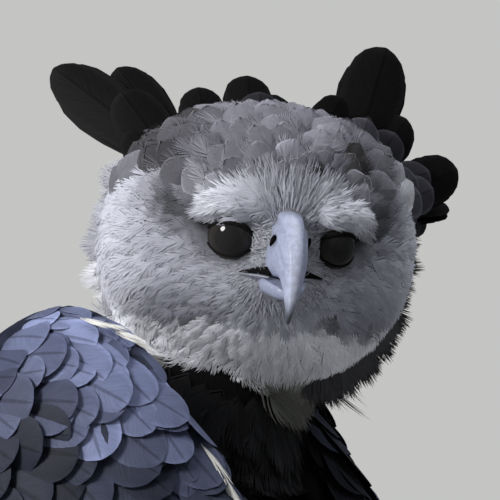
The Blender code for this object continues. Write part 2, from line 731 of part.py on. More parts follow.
def build():
    materials = make_materials()
    made = {}

    def keep(part, material):
        part.data.materials.clear()
        part.data.materials.append(materials[material])
        part.data.shade_smooth()
        part.data.set_sharp_from_angle(angle=math.radians(50.0))
        made[part.name] = part
        return part

    body = torso()
    skull = head_core()
    eyes = [eye("eye_left", 1), eye("eye_right", -1)]
    fringe = ruff()
    cut_clear(body, [skull])
    throat = cut_clear(neck(), [body, skull])
    for part in (body, throat):
        boolean(part, [grown(lock) for lock in fringe], "DIFFERENCE")
        keep_largest(part)
    extras = crest() + fringe + brow_and_lids(1) + brow_and_lids(-1)
    upper = cut_clear(bill_upper(), [skull])
    lower = cut_clear(bill_lower(), [skull, upper])
    plain_head = new_object("plain_head", skull.data.copy(), CUTTERS)
    boolean(skull, extras, "UNION")
    boolean(skull, [mouth_line(1), mouth_line(-1)], "DIFFERENCE")
    cut_clear(skull, [upper, lower, *eyes])
    for part, material in (
        (body, "white"), (skull, "grey"), (eyes[0], "eye"), (eyes[1], "eye"),
        (upper, "bill"), (lower, "bill"), (throat, "black"),
    ):
        keep(part, material)
    fan = keep(cut_clear(tail(), [body]), "tail")
    for side, word in ((1, "left"), (-1, "right")):
        leg = keep(cut_clear(thigh("thigh_" + word, side), [body]), "white")
        bone = keep(cut_clear(shank("shank_" + word, side), [leg]), "yellow_skin")
        sole = keep(cut_clear(foot("foot_" + word, side), [bone]), "yellow_skin")
        for toe in TOES:
            keep(cut_clear(claw("claw_" + toe + "_" + word, side, toe), [sole]), "claw")
        keep(cut_clear(wing("wing_" + word, side), [body, throat, plain_head, leg]), "slate")

    bpy.data.objects.remove(plain_head, do_unlink=True)

    low = Vector(np.min([v.co for p in made.values() for v in p.data.vertices], axis=0))
    high = Vector(np.max([v.co for p in made.values() for v in p.data.vertices], axis=0))
    bird = bpy.data.objects.new("bird", None)
    PARTS.objects.link(bird)
    bird.location = (-(low.x + high.x) / 2.0, -(low.y + high.y) / 2.0, -low.z)
    for part in made.values():
        set_origin(part)
        part.parent = bird


clear_scene()
PARTS = new_collection("harpy_eagle")
CUTTERS = new_collection("cutters")
build()
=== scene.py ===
"""The looks of the harpy eagle: a skin under a coat made feather by feather, eyes, bill, feet and talons.

Lengths are in metres. Shapes are worked out in the bird's own frame, which part.py builds in too, and are
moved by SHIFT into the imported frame. The head has a further frame of its own, with the bill along -Y.
"""

import math

import bpy
import numpy as np
from mathutils import Matrix, Vector
from mathutils.bvhtree import BVHTree


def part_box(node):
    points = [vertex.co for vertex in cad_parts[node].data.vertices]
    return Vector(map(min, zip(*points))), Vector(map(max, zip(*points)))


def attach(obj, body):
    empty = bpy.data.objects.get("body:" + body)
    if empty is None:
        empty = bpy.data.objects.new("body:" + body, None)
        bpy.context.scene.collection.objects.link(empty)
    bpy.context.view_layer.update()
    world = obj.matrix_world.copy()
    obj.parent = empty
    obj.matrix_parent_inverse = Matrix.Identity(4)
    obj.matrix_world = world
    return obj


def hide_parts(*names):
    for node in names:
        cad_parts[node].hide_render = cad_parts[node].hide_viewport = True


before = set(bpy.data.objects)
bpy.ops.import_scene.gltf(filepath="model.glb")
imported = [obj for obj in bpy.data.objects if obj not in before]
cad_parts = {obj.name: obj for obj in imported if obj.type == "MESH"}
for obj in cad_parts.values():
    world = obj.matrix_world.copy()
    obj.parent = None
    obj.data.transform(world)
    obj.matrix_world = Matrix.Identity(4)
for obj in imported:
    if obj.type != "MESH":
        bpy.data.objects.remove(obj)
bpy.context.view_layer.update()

MM = 0.001
HEAD_CENTRE = Vector((0.0, 0.0, 0.650))
HEAD_TURN = math.radians(122.0)
HEAD_NOD = math.radians(8.0)
HEAD_TILT = math.radians(-5.5)
ONLOOKER = Vector((0.940, 0.342, 0.0))
ACROSS_VIEW = np.array((-ONLOOKER.y, ONLOOKER.x, 0.0))
UPRIGHT = np.array((0.0, 0.0, 1.0))
SIDES = {1: "left", -1: "right"}
ALL_ROUND = (0.0, 2.0 * math.pi)
EYE_PLACE = np.array((0.0218, -0.0392, 0.0084))
EYE_RADIUS = 0.0122
LEG_X = 0.068
TAIL_ROOT = np.array((0.0, 0.135, 0.252))
TAIL_SLOPE = math.radians(36.0)
TAIL_LENGTH = 0.385
PATCH = 0.003  # width of one tuft's place on the unwrap of the skin
SINK = 0.0005  # how deep the feathers' roots are under the skin
RISING = 1.15  # how a feather leaves the skin: 1 is straight, more is later

HEAD = (
    Matrix.Translation(HEAD_CENTRE)
    @ Matrix.Rotation(HEAD_TILT, 4, ONLOOKER)
    @ Matrix.Rotation(HEAD_TURN, 4, "Z")
    @ Matrix.Rotation(HEAD_NOD, 4, "X")
)
HEAD_AXES = np.array(HEAD.to_3x3())
HEAD_ORIGIN = np.array(HEAD.translation)


def from_head(points):
    return np.asarray(points) @ HEAD_AXES.T + HEAD_ORIGIN


def to_head(points):
    return (np.asarray(points) - HEAD_ORIGIN) @ HEAD_AXES


def packed_shift():
    """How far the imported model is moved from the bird's own frame, read from where the left eye is."""
    low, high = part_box("eye_left")
    return (np.array(low) + np.array(high)) / 2.0 - from_head(EYE_PLACE)


SHIFT = packed_shift()


def unit(vectors):
    return vectors / np.maximum(np.linalg.norm(vectors, axis=-1, keepdims=True), 1e-9)


def dot(a, b):
    return np.sum(a * b, axis=-1, keepdims=True)


def smoothstep(low, high, value):
    share = np.clip((value - low) / (high - low), 0.0, 1.0)
    return share * share * (3.0 - 2.0 * share)


def linear(red, green, blue):
    """A colour as a screen shows it, from 0 to 255, in the renderer's own linear numbers."""
    shown = np.array((red, green, blue)) / 255.0
    return np.where(shown < 0.04045, shown / 12.92, ((shown + 0.055) / 1.055) ** 2.4)


def opaque(*shown):
    """The same as a shader's socket takes it."""
    return (*linear(*shown), 1.0)


def turns(count):
    """Even angles once round."""
    return np.linspace(*ALL_ROUND, count, endpoint=False)


def xyz(x, y, z):
    """Points from their coordinates, of which some may be single numbers."""
    return np.stack(np.broadcast_arrays(x, y, z), axis=-1)


def spot(x, z, at_x, at_z, wide, tall):
    """A soft round mark, 1 in its middle."""
    return np.exp(-((x - at_x) / wide) ** 2 - ((z - at_z) / tall) ** 2)


def smooth_rows(rows, count):
    """A smooth curve through rows of numbers, read at an even number of places."""
    rows = np.array(rows, float)
    last = len(rows) - 1
    place = np.linspace(0.0, last, count)
    i = np.minimum(place.astype(int), last - 1)
    t = (place - i)[:, None]
    before, start = rows[np.maximum(i - 1, 0)], rows[i]
    end, after = rows[i + 1], rows[np.minimum(i + 2, last)]
    bend = before - 2.5 * start + 2.0 * end - 0.5 * after
    twist = 1.5 * (start - end) + 0.5 * (after - before)
    return start + 0.5 * t * (end - before) + t**2 * bend + t**3 * twist


class Form:
    """A lofted part of the body, read anywhere along it (0 to 1) and round it (an angle)."""

    SAMPLES = 121

    def __init__(self, centre, across, up, power=1.0):
        self.centre, self.across, self.up, self.power = centre, across, up, power
        self.places = np.linspace(0.0, 1.0, len(centre))

    def at(self, table, along):
        return np.stack([np.interp(along, self.places, table[:, k]) for k in range(3)], axis=-1)

    def point(self, along, angle, grow=0.0):
        along, angle = np.broadcast_arrays(along, angle)
        point = self.at(self.centre, along)
        for table, wave in ((self.across, np.cos(angle)), (self.up, np.sin(angle))):
            way = self.at(table, along)
            wider = 1.0 + grow / np.maximum(np.linalg.norm(way, axis=-1, keepdims=True), 0.002)
            share = np.sign(wave) * np.abs(wave) ** self.power
            point = point + way * np.maximum(wider, 0.15) * share[..., None]
        return point

    def flow(self, along, angle):
        return unit(self.point(along + 0.01, angle) - self.point(along - 0.01, angle))

    def staggered(self, span, angles, step_along, step_round, rng, jitter):
        """Places in rows that are half a step out of line with each other, a little uneven."""
        length = np.linalg.norm(np.diff(self.at(self.centre, np.linspace(*span, 40)), axis=0), axis=1).sum()
        rows = max(int(length / step_along), 2)
        found_along, found_angle = [], []
        for k in range(rows):
            along = span[0] + (span[1] - span[0]) * (k + 0.5) / rows
            around = np.linspace(*angles, 60)
            girth = np.linalg.norm(np.diff(self.point(along, around), axis=0), axis=1)
            count = max(int(girth.sum() / step_round), 1)
            share = (np.arange(count) + 0.25 + 0.5 * (k % 2) + rng.uniform(-jitter, jitter, count)) / count
            walked = np.concatenate([[0.0], np.cumsum(girth)]) / girth.sum()
            found_angle.append(np.interp(share, walked, around))
            wobble = rng.uniform(-jitter, jitter, count) * (span[1] - span[0]) / rows
            found_along.append(np.clip(along + wobble, 0.0, 1.0))
        return np.concatenate(found_along), np.concatenate(found_angle)


# The tubes of part.py: rows of (x, y, z, half width, half depth), with the width along X.
TUBES = {
    "torso": [
        (0, 0.150, 0.238, 0.026, 0.022),
        (0, 0.130, 0.262, 0.046, 0.042),
        (0, 0.088, 0.310, 0.078, 0.070),
        (0, 0.037, 0.366, 0.100, 0.086),
        (0, -0.012, 0.430, 0.112, 0.090),
        (0, -0.044, 0.488, 0.109, 0.083),
        (0, -0.058, 0.524, 0.093, 0.068),
        (0, -0.063, 0.548, 0.070, 0.052),
        (0, -0.065, 0.562, 0.038, 0.031),
    ],
    "neck": [
        (0, -0.050, 0.520, 0.068, 0.060),
        (-0.006, -0.044, 0.552, 0.064, 0.061),
        (-0.018, -0.034, 0.588, 0.054, 0.050),
        (-0.018, -0.018, 0.625, 0.044, 0.042),
    ],
    "thigh": [
        (0.050, 0.010, 0.350, 0.050, 0.062),
        (0.060, -0.010, 0.295, 0.055, 0.070),
        (LEG_X, -0.014, 0.235, 0.050, 0.064),
        (LEG_X, 0.002, 0.178, 0.040, 0.050),
        (LEG_X, 0.018, 0.130, 0.029, 0.034),
        (LEG_X, 0.020, 0.100, 0.021, 0.024),
    ],
}


def tube_form(name, side=1):
    rows = smooth_rows(TUBES[name], Form.SAMPLES) * (side, 1, 1, 1, 1)
    centre = rows[:, :3]
    along = unit(np.gradient(centre, axis=0))
    level = unit(np.array((1.0, 0.0, 0.0)) - along * along[:, :1])
    return Form(centre, level * rows[:, 3:4], np.cross(along, level) * rows[:, 4:5])


def head_form():
    """The head's rings. Each row is how far back the ring is, its half width, its top and its bottom."""
    rows = smooth_rows([
        (-0.0530, 0.009, 0.019, -0.004),
        (-0.0500, 0.019, 0.030, -0.019),
        (-0.0430, 0.034, 0.043, -0.034),
        (-0.0330, 0.049, 0.053, -0.047),
        (-0.0200, 0.063, 0.060, -0.059),
        (-0.0050, 0.072, 0.063, -0.066),
        (0.0100, 0.073, 0.062, -0.067),
        (0.0260, 0.066, 0.057, -0.061),
        (0.0420, 0.052, 0.047, -0.050),
        (0.0540, 0.034, 0.033, -0.034),
        (0.0600, 0.014, 0.016, -0.012),
    ], Form.SAMPLES)
    back, width, top, bottom = rows.T
    centre = from_head(xyz(0.0, back, (top + bottom) / 2.0))
    up = xyz(0.0, 0.0, (top - bottom) / 2.0) @ HEAD_AXES.T
    return Form(centre, xyz(width, 0.0, 0.0) @ HEAD_AXES.T, up, HEAD_POWER)


def tail_form():
    rows = [(-0.02, 0.030, 0.020), (0.06, 0.034, 0.020), (0.16, 0.036, 0.014), (0.24, 0.032, 0.005)]
    share, width, thick = smooth_rows(rows, Form.SAMPLES).T
    centre = TAIL_ROOT + TAIL_ALONG * (TAIL_LENGTH * share)[:, None]
    return Form(centre, np.outer(width, (1.0, 0.0, 0.0)), np.outer(thick, TAIL_ABOVE))


TAIL_ALONG = np.array((0.0, math.cos(TAIL_SLOPE), -math.sin(TAIL_SLOPE)))
TAIL_ABOVE = np.array((0.0, math.sin(TAIL_SLOPE), math.cos(TAIL_SLOPE)))
WING_LENGTH = 0.50
LEAST_TALL = 0.028
LEAST_THICK = 0.006
HEAD_POWER = 0.92  # a little squarer than an ellipse


class WingForm(Form):
    """A folded wing. Angle 0 is the middle of its outer face and a quarter turn is its upper edge."""

    def __init__(self, side):
        rows = smooth_rows([
            (0.066, -0.064, 0.620, 0.008, 0.006, 0),
            (0.074, -0.064, 0.611, 0.030, 0.020, 2),
            (0.081, -0.064, 0.594, 0.048, 0.031, 4),
            (0.087, -0.064, 0.568, 0.064, 0.038, 7),
            (0.091, -0.060, 0.534, 0.075, 0.040, 12),
            (0.091, -0.040, 0.488, 0.081, 0.038, 18),
            (0.086, -0.002, 0.434, 0.081, 0.032, 28),
            (0.077, 0.046, 0.381, 0.074, 0.025, 39),
            (0.065, 0.094, 0.331, 0.060, 0.017, 49),
            (0.052, 0.141, 0.284, 0.041, 0.009, 57),
            (0.043, 0.181, 0.247, 0.023, 0.004, 62),
            (0.038, 0.205, 0.229, 0.012, 0.003, 64),
        ], self.SAMPLES)
        self.side = side
        centre = rows[:, :3] * (side, 1.0, 1.0)
        along = unit(np.gradient(centre, axis=0))
        level = np.array((side, 0.0, 0.0))
        level = unit(level - along * dot(along, level))
        turned = np.cross(along, level) * -side
        lean = np.radians(rows[:, 5:6])
        out = level * np.cos(lean) + turned * np.sin(lean)
        up = np.cross(out, along) * side
        super().__init__(centre, out * rows[:, 4:5], up * rows[:, 3:4])
        self.heading = along

    def face(self, along, across, height):
        """Points over the outer face, at (along, across) with across from -1 below to 1 above."""
        middle = self.at(self.centre, along)
        beyond = np.maximum(along - 1.0, 0.0)[..., None] * WING_LENGTH
        middle = middle + self.at(self.heading, along) * beyond
        out, up = self.at(self.across, along), self.at(self.up, along)
        thick = np.maximum(np.linalg.norm(out, axis=-1, keepdims=True), LEAST_THICK)
        tall = np.maximum(np.linalg.norm(up, axis=-1, keepdims=True), LEAST_TALL)
        out, up = unit(out), unit(up)
        across = np.clip(across, -0.98, 0.98)[..., None]
        bulge = np.sqrt(1.0 - across**2)
        normal = unit(up * across / tall + out * bulge / thick)
        return middle + up * tall * across + out * thick * bulge + normal * height[..., None]


def mesh_of(name, points, faces):
    """A mesh object of quads or triangles from arrays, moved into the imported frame."""
    mesh = bpy.data.meshes.new(name)
    corners = faces.shape[1]
    mesh.vertices.add(len(points))
    mesh.vertices.foreach_set("co", (points + SHIFT).astype(np.float32).ravel())
    mesh.loops.add(faces.size)
    mesh.loops.foreach_set("vertex_index", faces.astype(np.int32).ravel())
    mesh.polygons.add(len(faces))
    mesh.polygons.foreach_set("loop_start", np.arange(0, faces.size, corners, dtype=np.int32))
    mesh.update(calc_edges=True)
    mesh.polygons.foreach_set("use_smooth", np.ones(len(faces), bool))
    made = bpy.data.objects.new(name, mesh)
    bpy.context.scene.collection.objects.link(made)
    return made


def grid_faces(rows, columns, wrap=False):
    """Quads of a grid of points, row by row. Wrap joins the last column to the first."""
    last = columns if wrap else columns - 1
    i, j = np.meshgrid(np.arange(rows - 1), np.arange(last), indexing="ij")
    after = (j + 1) % columns
    quads = (i * columns + j, i * columns + after, (i + 1) * columns + after, (i + 1) * columns + j)
    return np.stack(quads, axis=-1).reshape(-1, 4)


def closed_loft(rings):
    """Points and triangles of a closed tube through an array of rings."""
    rows, sides = rings.shape[:2]
    points = np.concatenate([rings.reshape(-1, 3), rings[:1].mean(axis=1), rings[-1:].mean(axis=1)])
    quads = grid_faces(rows, sides, wrap=True)
    around = np.arange(sides)
    after = (around + 1) % sides
    hub = rows * sides
    low = np.stack([after, around, np.full(sides, hub)], axis=1)
    high = np.stack([around, after, np.full(sides, hub + 1)], axis=1) + [[hub - sides, hub - sides, 0]]
    triangles = np.concatenate([quads[:, [0, 1, 2]], quads[:, [0, 2, 3]], low, high])
    return points, triangles


def ball(sides, rings, pole):
    """A unit ball with its axis along Z, open by a small angle at both poles."""
    down = np.linspace(pole, math.pi - pole, rings)[:, None]
    around = turns(sides)[None, :]
    return xyz(np.sin(down) * np.cos(around), np.sin(down) * np.sin(around), -np.cos(down))


def ellipsoid(centre, sizes, turn):
    """Points and triangles of an ellipsoid in the head's frame, turned by a matrix."""
    lying = ball(20, 12, 0.05)[..., [0, 2, 1]] * (1.0, -1.0, 1.0)
    return closed_loft(from_head(centre + (lying * sizes) @ np.array(turn).T))


def joined(pieces):
    points, faces, start = [], [], 0
    for p, f in pieces:
        points.append(p)
        faces.append(f + start)
        start += len(p)
    return np.concatenate(points), np.concatenate(faces)


def fused(target, voxel, smoothing):
    """Melts closed shapes that overlap into one smooth surface."""
    melt = target.modifiers.new("melt", "REMESH")
    melt.mode = "VOXEL"
    melt.voxel_size = voxel
    soften = target.modifiers.new("soften", "SMOOTH")
    soften.factor = 0.5
    soften.iterations = smoothing
    old = target.data
    graph = bpy.context.evaluated_depsgraph_get()
    melted = bpy.data.meshes.new_from_object(target.evaluated_get(graph))
    target.modifiers.clear()
    target.data = melted
    bpy.data.meshes.remove(old)
    melted.shade_smooth()
    return target


FORMS = {
    "torso": tube_form("torso"), "neck": tube_form("neck"), "head": head_form(), "tail": tail_form(),
    "thigh_left": tube_form("thigh"), "thigh_right": tube_form("thigh", -1),
    "wing_left": WingForm(1), "wing_right": WingForm(-1),
}
# How far the skin lies inside each form, which is the outside of the coat.
COAT_DEPTH = {
    "torso": 0.0070, "neck": 0.0070, "head": 0.0045, "tail": 0.0030,
    "thigh_left": 0.0060, "thigh_right": 0.0060, "wing_left": 0.0030, "wing_right": 0.0030,
}
BROW_PLACE = np.array((0.0250, -0.0415, 0.0215))
BROW_SIZES = np.array((0.0165, 0.0075, 0.0048))


def brow_turn(side):
    return Matrix.Rotation(math.radians(26.0) * side, 3, "Z")


class Skin:
    """The skin under the coat, with the nearest place on it, its normal there and its place on the unwrap."""

    VOXEL = 0.0035

    def __init__(self):
        pieces = []
        rings = np.linspace(0.0, 1.0, 40)[:, None]
        for name, form in FORMS.items():
            pieces.append(closed_loft(form.point(rings, turns(48)[None], -COAT_DEPTH[name])))
        for side in SIDES:
            pieces.append(ellipsoid(BROW_PLACE * (side, 1, 1), BROW_SIZES, brow_turn(side)))
        self.piece = fused(mesh_of("skin", *joined(pieces)), self.VOXEL, 5)
        self.unwrap()
        mesh = self.piece.data
        mesh.calc_loop_triangles()
        corners = self.read(mesh.loop_triangles, "vertices", 3, np.int32)
        loops = self.read(mesh.loop_triangles, "loops", 3, np.int32)
        self.points = self.read(mesh.vertices, "co", 3) - SHIFT
        self.normals = self.read(mesh.vertices, "normal", 3)
        self.corners = corners
        self.uv = self.read(mesh.uv_layers["OFBake"].data, "uv", 2)[loops]
        self.tree = BVHTree.FromPolygons(self.points.tolist(), corners.tolist())

    @staticmethod
    def read(items, name, width, kind=np.float32):
        values = np.empty(len(items) * width, kind)
        items.foreach_get(name, values)
        return values.reshape(-1, width)

    def unwrap(self):
        """Lays the skin out flat in islands that follow its own shape."""
        bpy.context.view_layer.objects.active = self.piece
        self.piece.select_set(True)
        bpy.ops.object.mode_set(mode="EDIT")
        bpy.ops.mesh.select_all(action="SELECT")
        bpy.ops.uv.smart_project(angle_limit=math.radians(66.0), island_margin=0.004)
        bpy.ops.object.mode_set(mode="OBJECT")
        self.piece.select_set(False)
        self.piece.data.uv_layers[0].name = "OFBake"

    def nearest(self, points):
        """For each point: the nearest place on the skin, its normal and unwrap, and how far it is."""
        flat = np.asarray(points).reshape(-1, 3)
        found = [self.tree.find_nearest(p) for p in flat.tolist()]
        place = np.array([f[0] for f in found])
        triangle = np.array([f[2] for f in found])
        away = np.array([f[3] for f in found])
        a, b, c = (self.points[self.corners[triangle, k]] for k in range(3))
        share = self.shares(place, a, b, c)
        normal = sum(self.normals[self.corners[triangle, k]] * share[:, k:k + 1] for k in range(3))
        uv = sum(self.uv[triangle, k] * share[:, k:k + 1] for k in range(3))
        return place, unit(normal), uv, away

    @staticmethod
    def shares(place, a, b, c):
        """How much of each corner a place in a triangle has."""
        ab, ac, ap = b - a, c - a, place - a
        d00, d01, d11 = dot(ab, ab), dot(ab, ac), dot(ac, ac)
        d20, d21 = dot(ap, ab), dot(ap, ac)
        area = np.maximum(d00 * d11 - d01 * d01, 1e-18)
        second = (d11 * d20 - d01 * d21) / area
        third = (d00 * d21 - d01 * d20) / area
        return np.concatenate([1.0 - second - third, second, third], axis=1)


# Half widths along a feather, as pairs of how far along it and the share of its full half width.
ROUND_TIP = (
    (0.0, 0.40), (0.25, 0.78), (0.55, 1.0), (0.74, 0.97), (0.86, 0.82), (0.94, 0.58), (0.98, 0.34),
    (1.0, 0.04),
)
OVAL = (
    (0.0, 0.45), (0.2, 0.74), (0.5, 0.97), (0.68, 1.0), (0.84, 0.86), (0.93, 0.62), (0.98, 0.34), (1.0, 0.05),
)
LONG_TIP = ((0.0, 0.40), (0.2, 0.80), (0.6, 1.0), (0.88, 0.88), (0.96, 0.62), (1.0, 0.15))
STRAND = ((0.0, 0.7), (0.4, 1.0), (0.8, 0.7), (1.0, 0.12))


class Batch:
    """Feathers of one kind: points in (feather, station, across) order and what the shaders read there."""

    def __init__(self, points, uv, colour, chance, patch=(0.0, 1.0), along=None):
        self.points, self.uv, self.colour, self.chance, self.patch = points, uv, colour, chance, patch
        self.along = stations_of(points.shape[1])[None, :] if along is None else along


def read_off(pairs, place):
    """The second numbers of pairs, read between them at places among the first."""
    return np.interp(place, *np.array(pairs).T)


def each(value, count, axes):
    """A value for every feather, with axes of one after it."""
    return np.broadcast_to(value, count).reshape(count, *(1,) * axes)


def curve(start, middle, end, s):
    """The smooth curve through three points."""
    return start * (2 * s * s - 3 * s + 1) + middle * (4 * s - 4 * s * s) + end * (2 * s * s - s)


def tilted(side, normals, tilt):
    """Both directions turned together about the shaft."""
    c, s = np.cos(tilt), np.sin(tilt)
    return side * c + normals * s, normals * c - side * s


def stations_of(count):
    """Places along a feather, closer together towards its tip, where it is rounded."""
    return np.sin(np.linspace(0.0, 1.0, count) * math.pi / 2.0)


def laid_out(skin, root, flow, length, rng, yaw):
    """How feathers lie on the skin: roots, middles, ends, the normals at both ends and the unwrap."""
    place, normal, uv, _ = skin.nearest(root)
    way = unit(flow - normal * dot(flow, normal))
    turn = rng.normal(0.0, yaw, (len(root), 1))
    way = way * np.cos(turn) + np.cross(normal, way) * np.sin(turn)
    reach = length[:, None]
    end_guess, middle_guess = place + way * reach, place + way * reach * 0.5
    end, end_normal, _, away = skin.nearest(end_guess)
    middle = skin.nearest(middle_guess)[0]
    # Where the skin ends or turns away sharply, the feather goes straight on.
    loose = (away > 0.45 * length)[:, None]
    end = np.where(loose, end_guess, end)
    end_normal = np.where(loose, normal, end_normal)
    middle = np.where(loose, middle_guess, middle)
    return place, middle, end, normal, end_normal, uv


def standing(skin, root, tip, facing, bend):
    """The same for feathers that leave the skin: from root to tip, bent a little towards their facing."""
    way = tip - root
    along = unit(way)
    normal = unit(facing - along * dot(along, facing))
    middle = (root + tip) / 2.0 + normal * bend * np.linalg.norm(way, axis=1, keepdims=True)
    return root, middle, tip, normal, normal, skin.nearest(root)[2]


def blades(skin, root, flow, length, width, colour, rng, profile, stations, columns, lift, camber,
           curl=0.0, yaw=0.06, roll=0.08, ragged=0.0):
    """Feathers that follow the skin from their roots and rise from it towards their tips."""
    count = len(root)
    long = each(length, count, 2)
    place, middle, end, normal, end_normal, uv = laid_out(skin, root, flow, long[:, 0, 0], rng, yaw)
    s = stations_of(stations)[None, :, None]
    spine = curve(place[:, None], middle[:, None], end[:, None], s)
    normals = unit(normal[:, None] * (1.0 - s) + end_normal[:, None] * s)
    tangent = unit(np.gradient(spine, axis=1))
    side, normals = tilted(unit(np.cross(tangent, normals)), normals, rng.normal(0.0, roll, (count, 1, 1)))
    spine = spine + normals * ((each(lift, count, 2) * s**RISING + curl * s * s) * long - SINK)
    half = read_off(profile, s) * each(width, count, 2) / 2.0
    t = np.linspace(-1.0, 1.0, columns)
    rough = 1.0 + rng.uniform(-ragged, ragged, (count, stations, columns))
    shift = (t * half * rough)[..., None]
    droop = (camber * half * t * t)[..., None]
    points = spine[:, :, None] + side[:, :, None] * shift - normals[:, :, None] * droop
    # Bundles of barbs that reach a little further or less far than their neighbours.
    uneven = rng.uniform(-ragged, ragged, (count, 1, columns, 1)) * long[..., None] * s[..., None] ** 3
    return Batch(points + tangent[:, :, None] * uneven, uv, colour, rng.uniform(0.0, 1.0, count))


def plumes(skin, root, flow, length, width, colour, rng, barbs, strand, lift, frizz, curl=0.03,
           camber=0.25, yaw=0.10, roll=0.10, sink=SINK, tip_light=0.15, open_up=1.30, laid=None, rough=0.012):
    """Soft feathers made barb by barb. Each leaves the shaft in its turn and ends on a rounded outline."""
    count = len(root)
    long, half = each(length, count, 3), each(width, count, 3) / 2.0
    *lying, uv = laid or laid_out(skin, root, flow, long[:, 0, 0, 0], rng, yaw)
    place, middle, end, normal, end_normal = (part[:, None, None, None] for part in lying)
    t = np.linspace(0.0, 1.0, 4)[None, None, :, None]
    turn = np.linspace(-open_up, open_up, barbs)[None, :, None, None]
    turn = turn + rng.normal(0.0, 0.05, (count, barbs, 1, 1))
    reach = rng.uniform(1.0 - frizz, 1.0 + frizz, (count, barbs, 1, 1))
    last = (0.52 + 0.48 * np.cos(turn)) * reach
    first = np.maximum(last - 0.50, 0.0)
    aside = np.sin(turn) * reach
    # Places in the feather's own plane, u along the shaft and v across it, and the barb's own slope there.
    u = first + (last - first) * t
    v = aside * (1.0 - (1.0 - t) ** 1.4)
    slope_u = (last - first) * long
    slope_v = aside * 1.4 * (1.0 - t) ** 0.4 * half
    steep = np.maximum(np.hypot(slope_u, slope_v), 1e-9)
    thick = read_off(STRAND, t) * strand / 2.0 * np.array((-1.0, 1.0))
    u = (u - thick * slope_v / steep / long)[..., None]
    v = (v + thick * slope_u / steep / half)[..., None]
    spine = curve(place, middle, end, u)
    tangent = unit(place * (4 * u - 3) + middle * (4 - 8 * u) + end * (4 * u - 1))
    normals = unit(normal * (1.0 - u) + end_normal * u)
    tilt = rng.normal(0.0, roll, (count, 1, 1, 1, 1))
    side, normals = tilted(unit(np.cross(tangent, normals)), normals, tilt)
    long, half = long[..., None], half[..., None]
    rise = (each(lift, count, 4) * np.maximum(u, 0.0) ** RISING + curl * u * u) * long - sink
    astray = rng.normal(0.0, rough, (count, barbs, 1, 1, 1)) * long * t[..., None]
    rise = rise - camber * half * v * v + astray
    points = (spine + side * v * half + normals * rise).reshape(count * barbs, 4, 2, 3)
    along = np.clip(u[..., 0].mean(axis=-1), 0.0, 1.0)
    shade = rng.uniform(0.92, 1.08, (count, barbs, 1)) * (1.0 + tip_light * smoothstep(0.62, 1.0, along))
    colours = np.asarray(colour).reshape(-1, 1, 1, 3) * shade[..., None]
    patch = np.tile(np.arange(barbs) / barbs, count)[:, None, None]
    chance = np.repeat(rng.uniform(0.0, 1.0, count), barbs)
    return Batch(points, np.repeat(uv, barbs, axis=0), colours.reshape(-1, 4, 3), chance,
                 (patch, 1.0 / barbs), along.reshape(-1, 4))


def free_blades(root, tip, facing, half_width, colour, skin, rng, profile, stations, columns, camber, bend):
    """Feathers that stand free of the skin, each with its broad side towards its facing direction."""
    root, tip, facing = (np.asarray(a, float) for a in (root, tip, facing))
    way = tip - root
    along = unit(way)
    up = unit(facing - along * dot(along, facing))
    side = np.cross(along, up)
    s = stations_of(stations)[None, :, None]
    reach = np.linalg.norm(way, axis=-1)[:, None, None]
    spine = root[:, None] + way[:, None] * s + up[:, None] * (bend * reach * s * s)
    half = read_off(profile, s) * each(half_width, len(root), 2)
    t = np.linspace(-1.0, 1.0, columns)
    points = spine[:, :, None] + side[:, None, None] * (t * half)[..., None]
    points = points - up[:, None, None] * (camber * half * np.abs(t) ** 1.6)[..., None]
    return Batch(points, skin.nearest(root)[2], colour, rng.uniform(0.0, 1.0, len(root)))


def coat_piece(name, batches, material, slot):
    """One mesh of many feathers, with what the shaders read and the unwrap for the bake."""
    points, faces, colours, uvs, start = [], [], [], [], 0
    layers = {"along": [], "aside": [], "chance": []}
    for batch in batches:
        shape = batch.points.shape[:3]
        s = np.broadcast_to(batch.along[..., None], shape)
        t = np.broadcast_to(np.linspace(-1.0, 1.0, shape[2]), shape)
        chance = np.broadcast_to(batch.chance[:, None, None], shape)
        for layer, values in zip(layers.values(), (s, t, chance)):
            layer.append(values.ravel())
        colour = np.asarray(batch.colour, float)
        colour = colour.reshape(-1, 1, 1, 3) if colour.ndim < 3 else colour[:, :, None]
        colours.append(np.broadcast_to(colour, (*shape, 3)).reshape(-1, 3))
        offset = start + np.arange(shape[0])[:, None, None] * shape[1] * shape[2]
        faces.append((grid_faces(*shape[1:]) + offset).reshape(-1, 4))
        points.append(batch.points.reshape(-1, 3))
        first, share = batch.patch
        place = np.stack([first + share * (t + 1.0) / 2.0 - 0.5, s - 0.5], axis=-1) * PATCH
        uvs.append((batch.uv[:, None, None] + place).reshape(-1, 2))
        start += t.size
    piece = mesh_of(name, np.concatenate(points), np.concatenate(faces))
    mesh = piece.data
    for key, values in layers.items():
        store(mesh, key, np.concatenate(values))
    paint(piece, np.concatenate(colours))
    corner = np.empty(len(mesh.loops), np.int32)
    mesh.loops.foreach_get("vertex_index", corner)
    unwrap = mesh.uv_layers.new(name="OFBake").data
    unwrap.foreach_set("uv", np.concatenate(uvs)[corner].astype(np.float32).ravel())
    finish_piece(piece, material, slot)


def store(mesh, key, values):
    """Keeps a number for each point, for the shaders."""
    mesh.attributes.new(key, "FLOAT", "POINT").data.foreach_set("value", values.astype(np.float32))


def paint(piece, colours):
    """Stores each point's colour for the shaders."""
    colours = np.concatenate([np.clip(colours, 0.0, 1.0), np.ones((len(colours), 1))], axis=1)
    layer = piece.data.color_attributes.new("plumage", "FLOAT_COLOR", "POINT")
    layer.data.foreach_set("color", colours.astype(np.float32).ravel())


def finish_piece(piece, material, slot, *nodes):
    piece.data.materials.clear()
    piece.data.materials.append(material)
    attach(piece, "root")
    if nodes:
        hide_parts(*nodes)


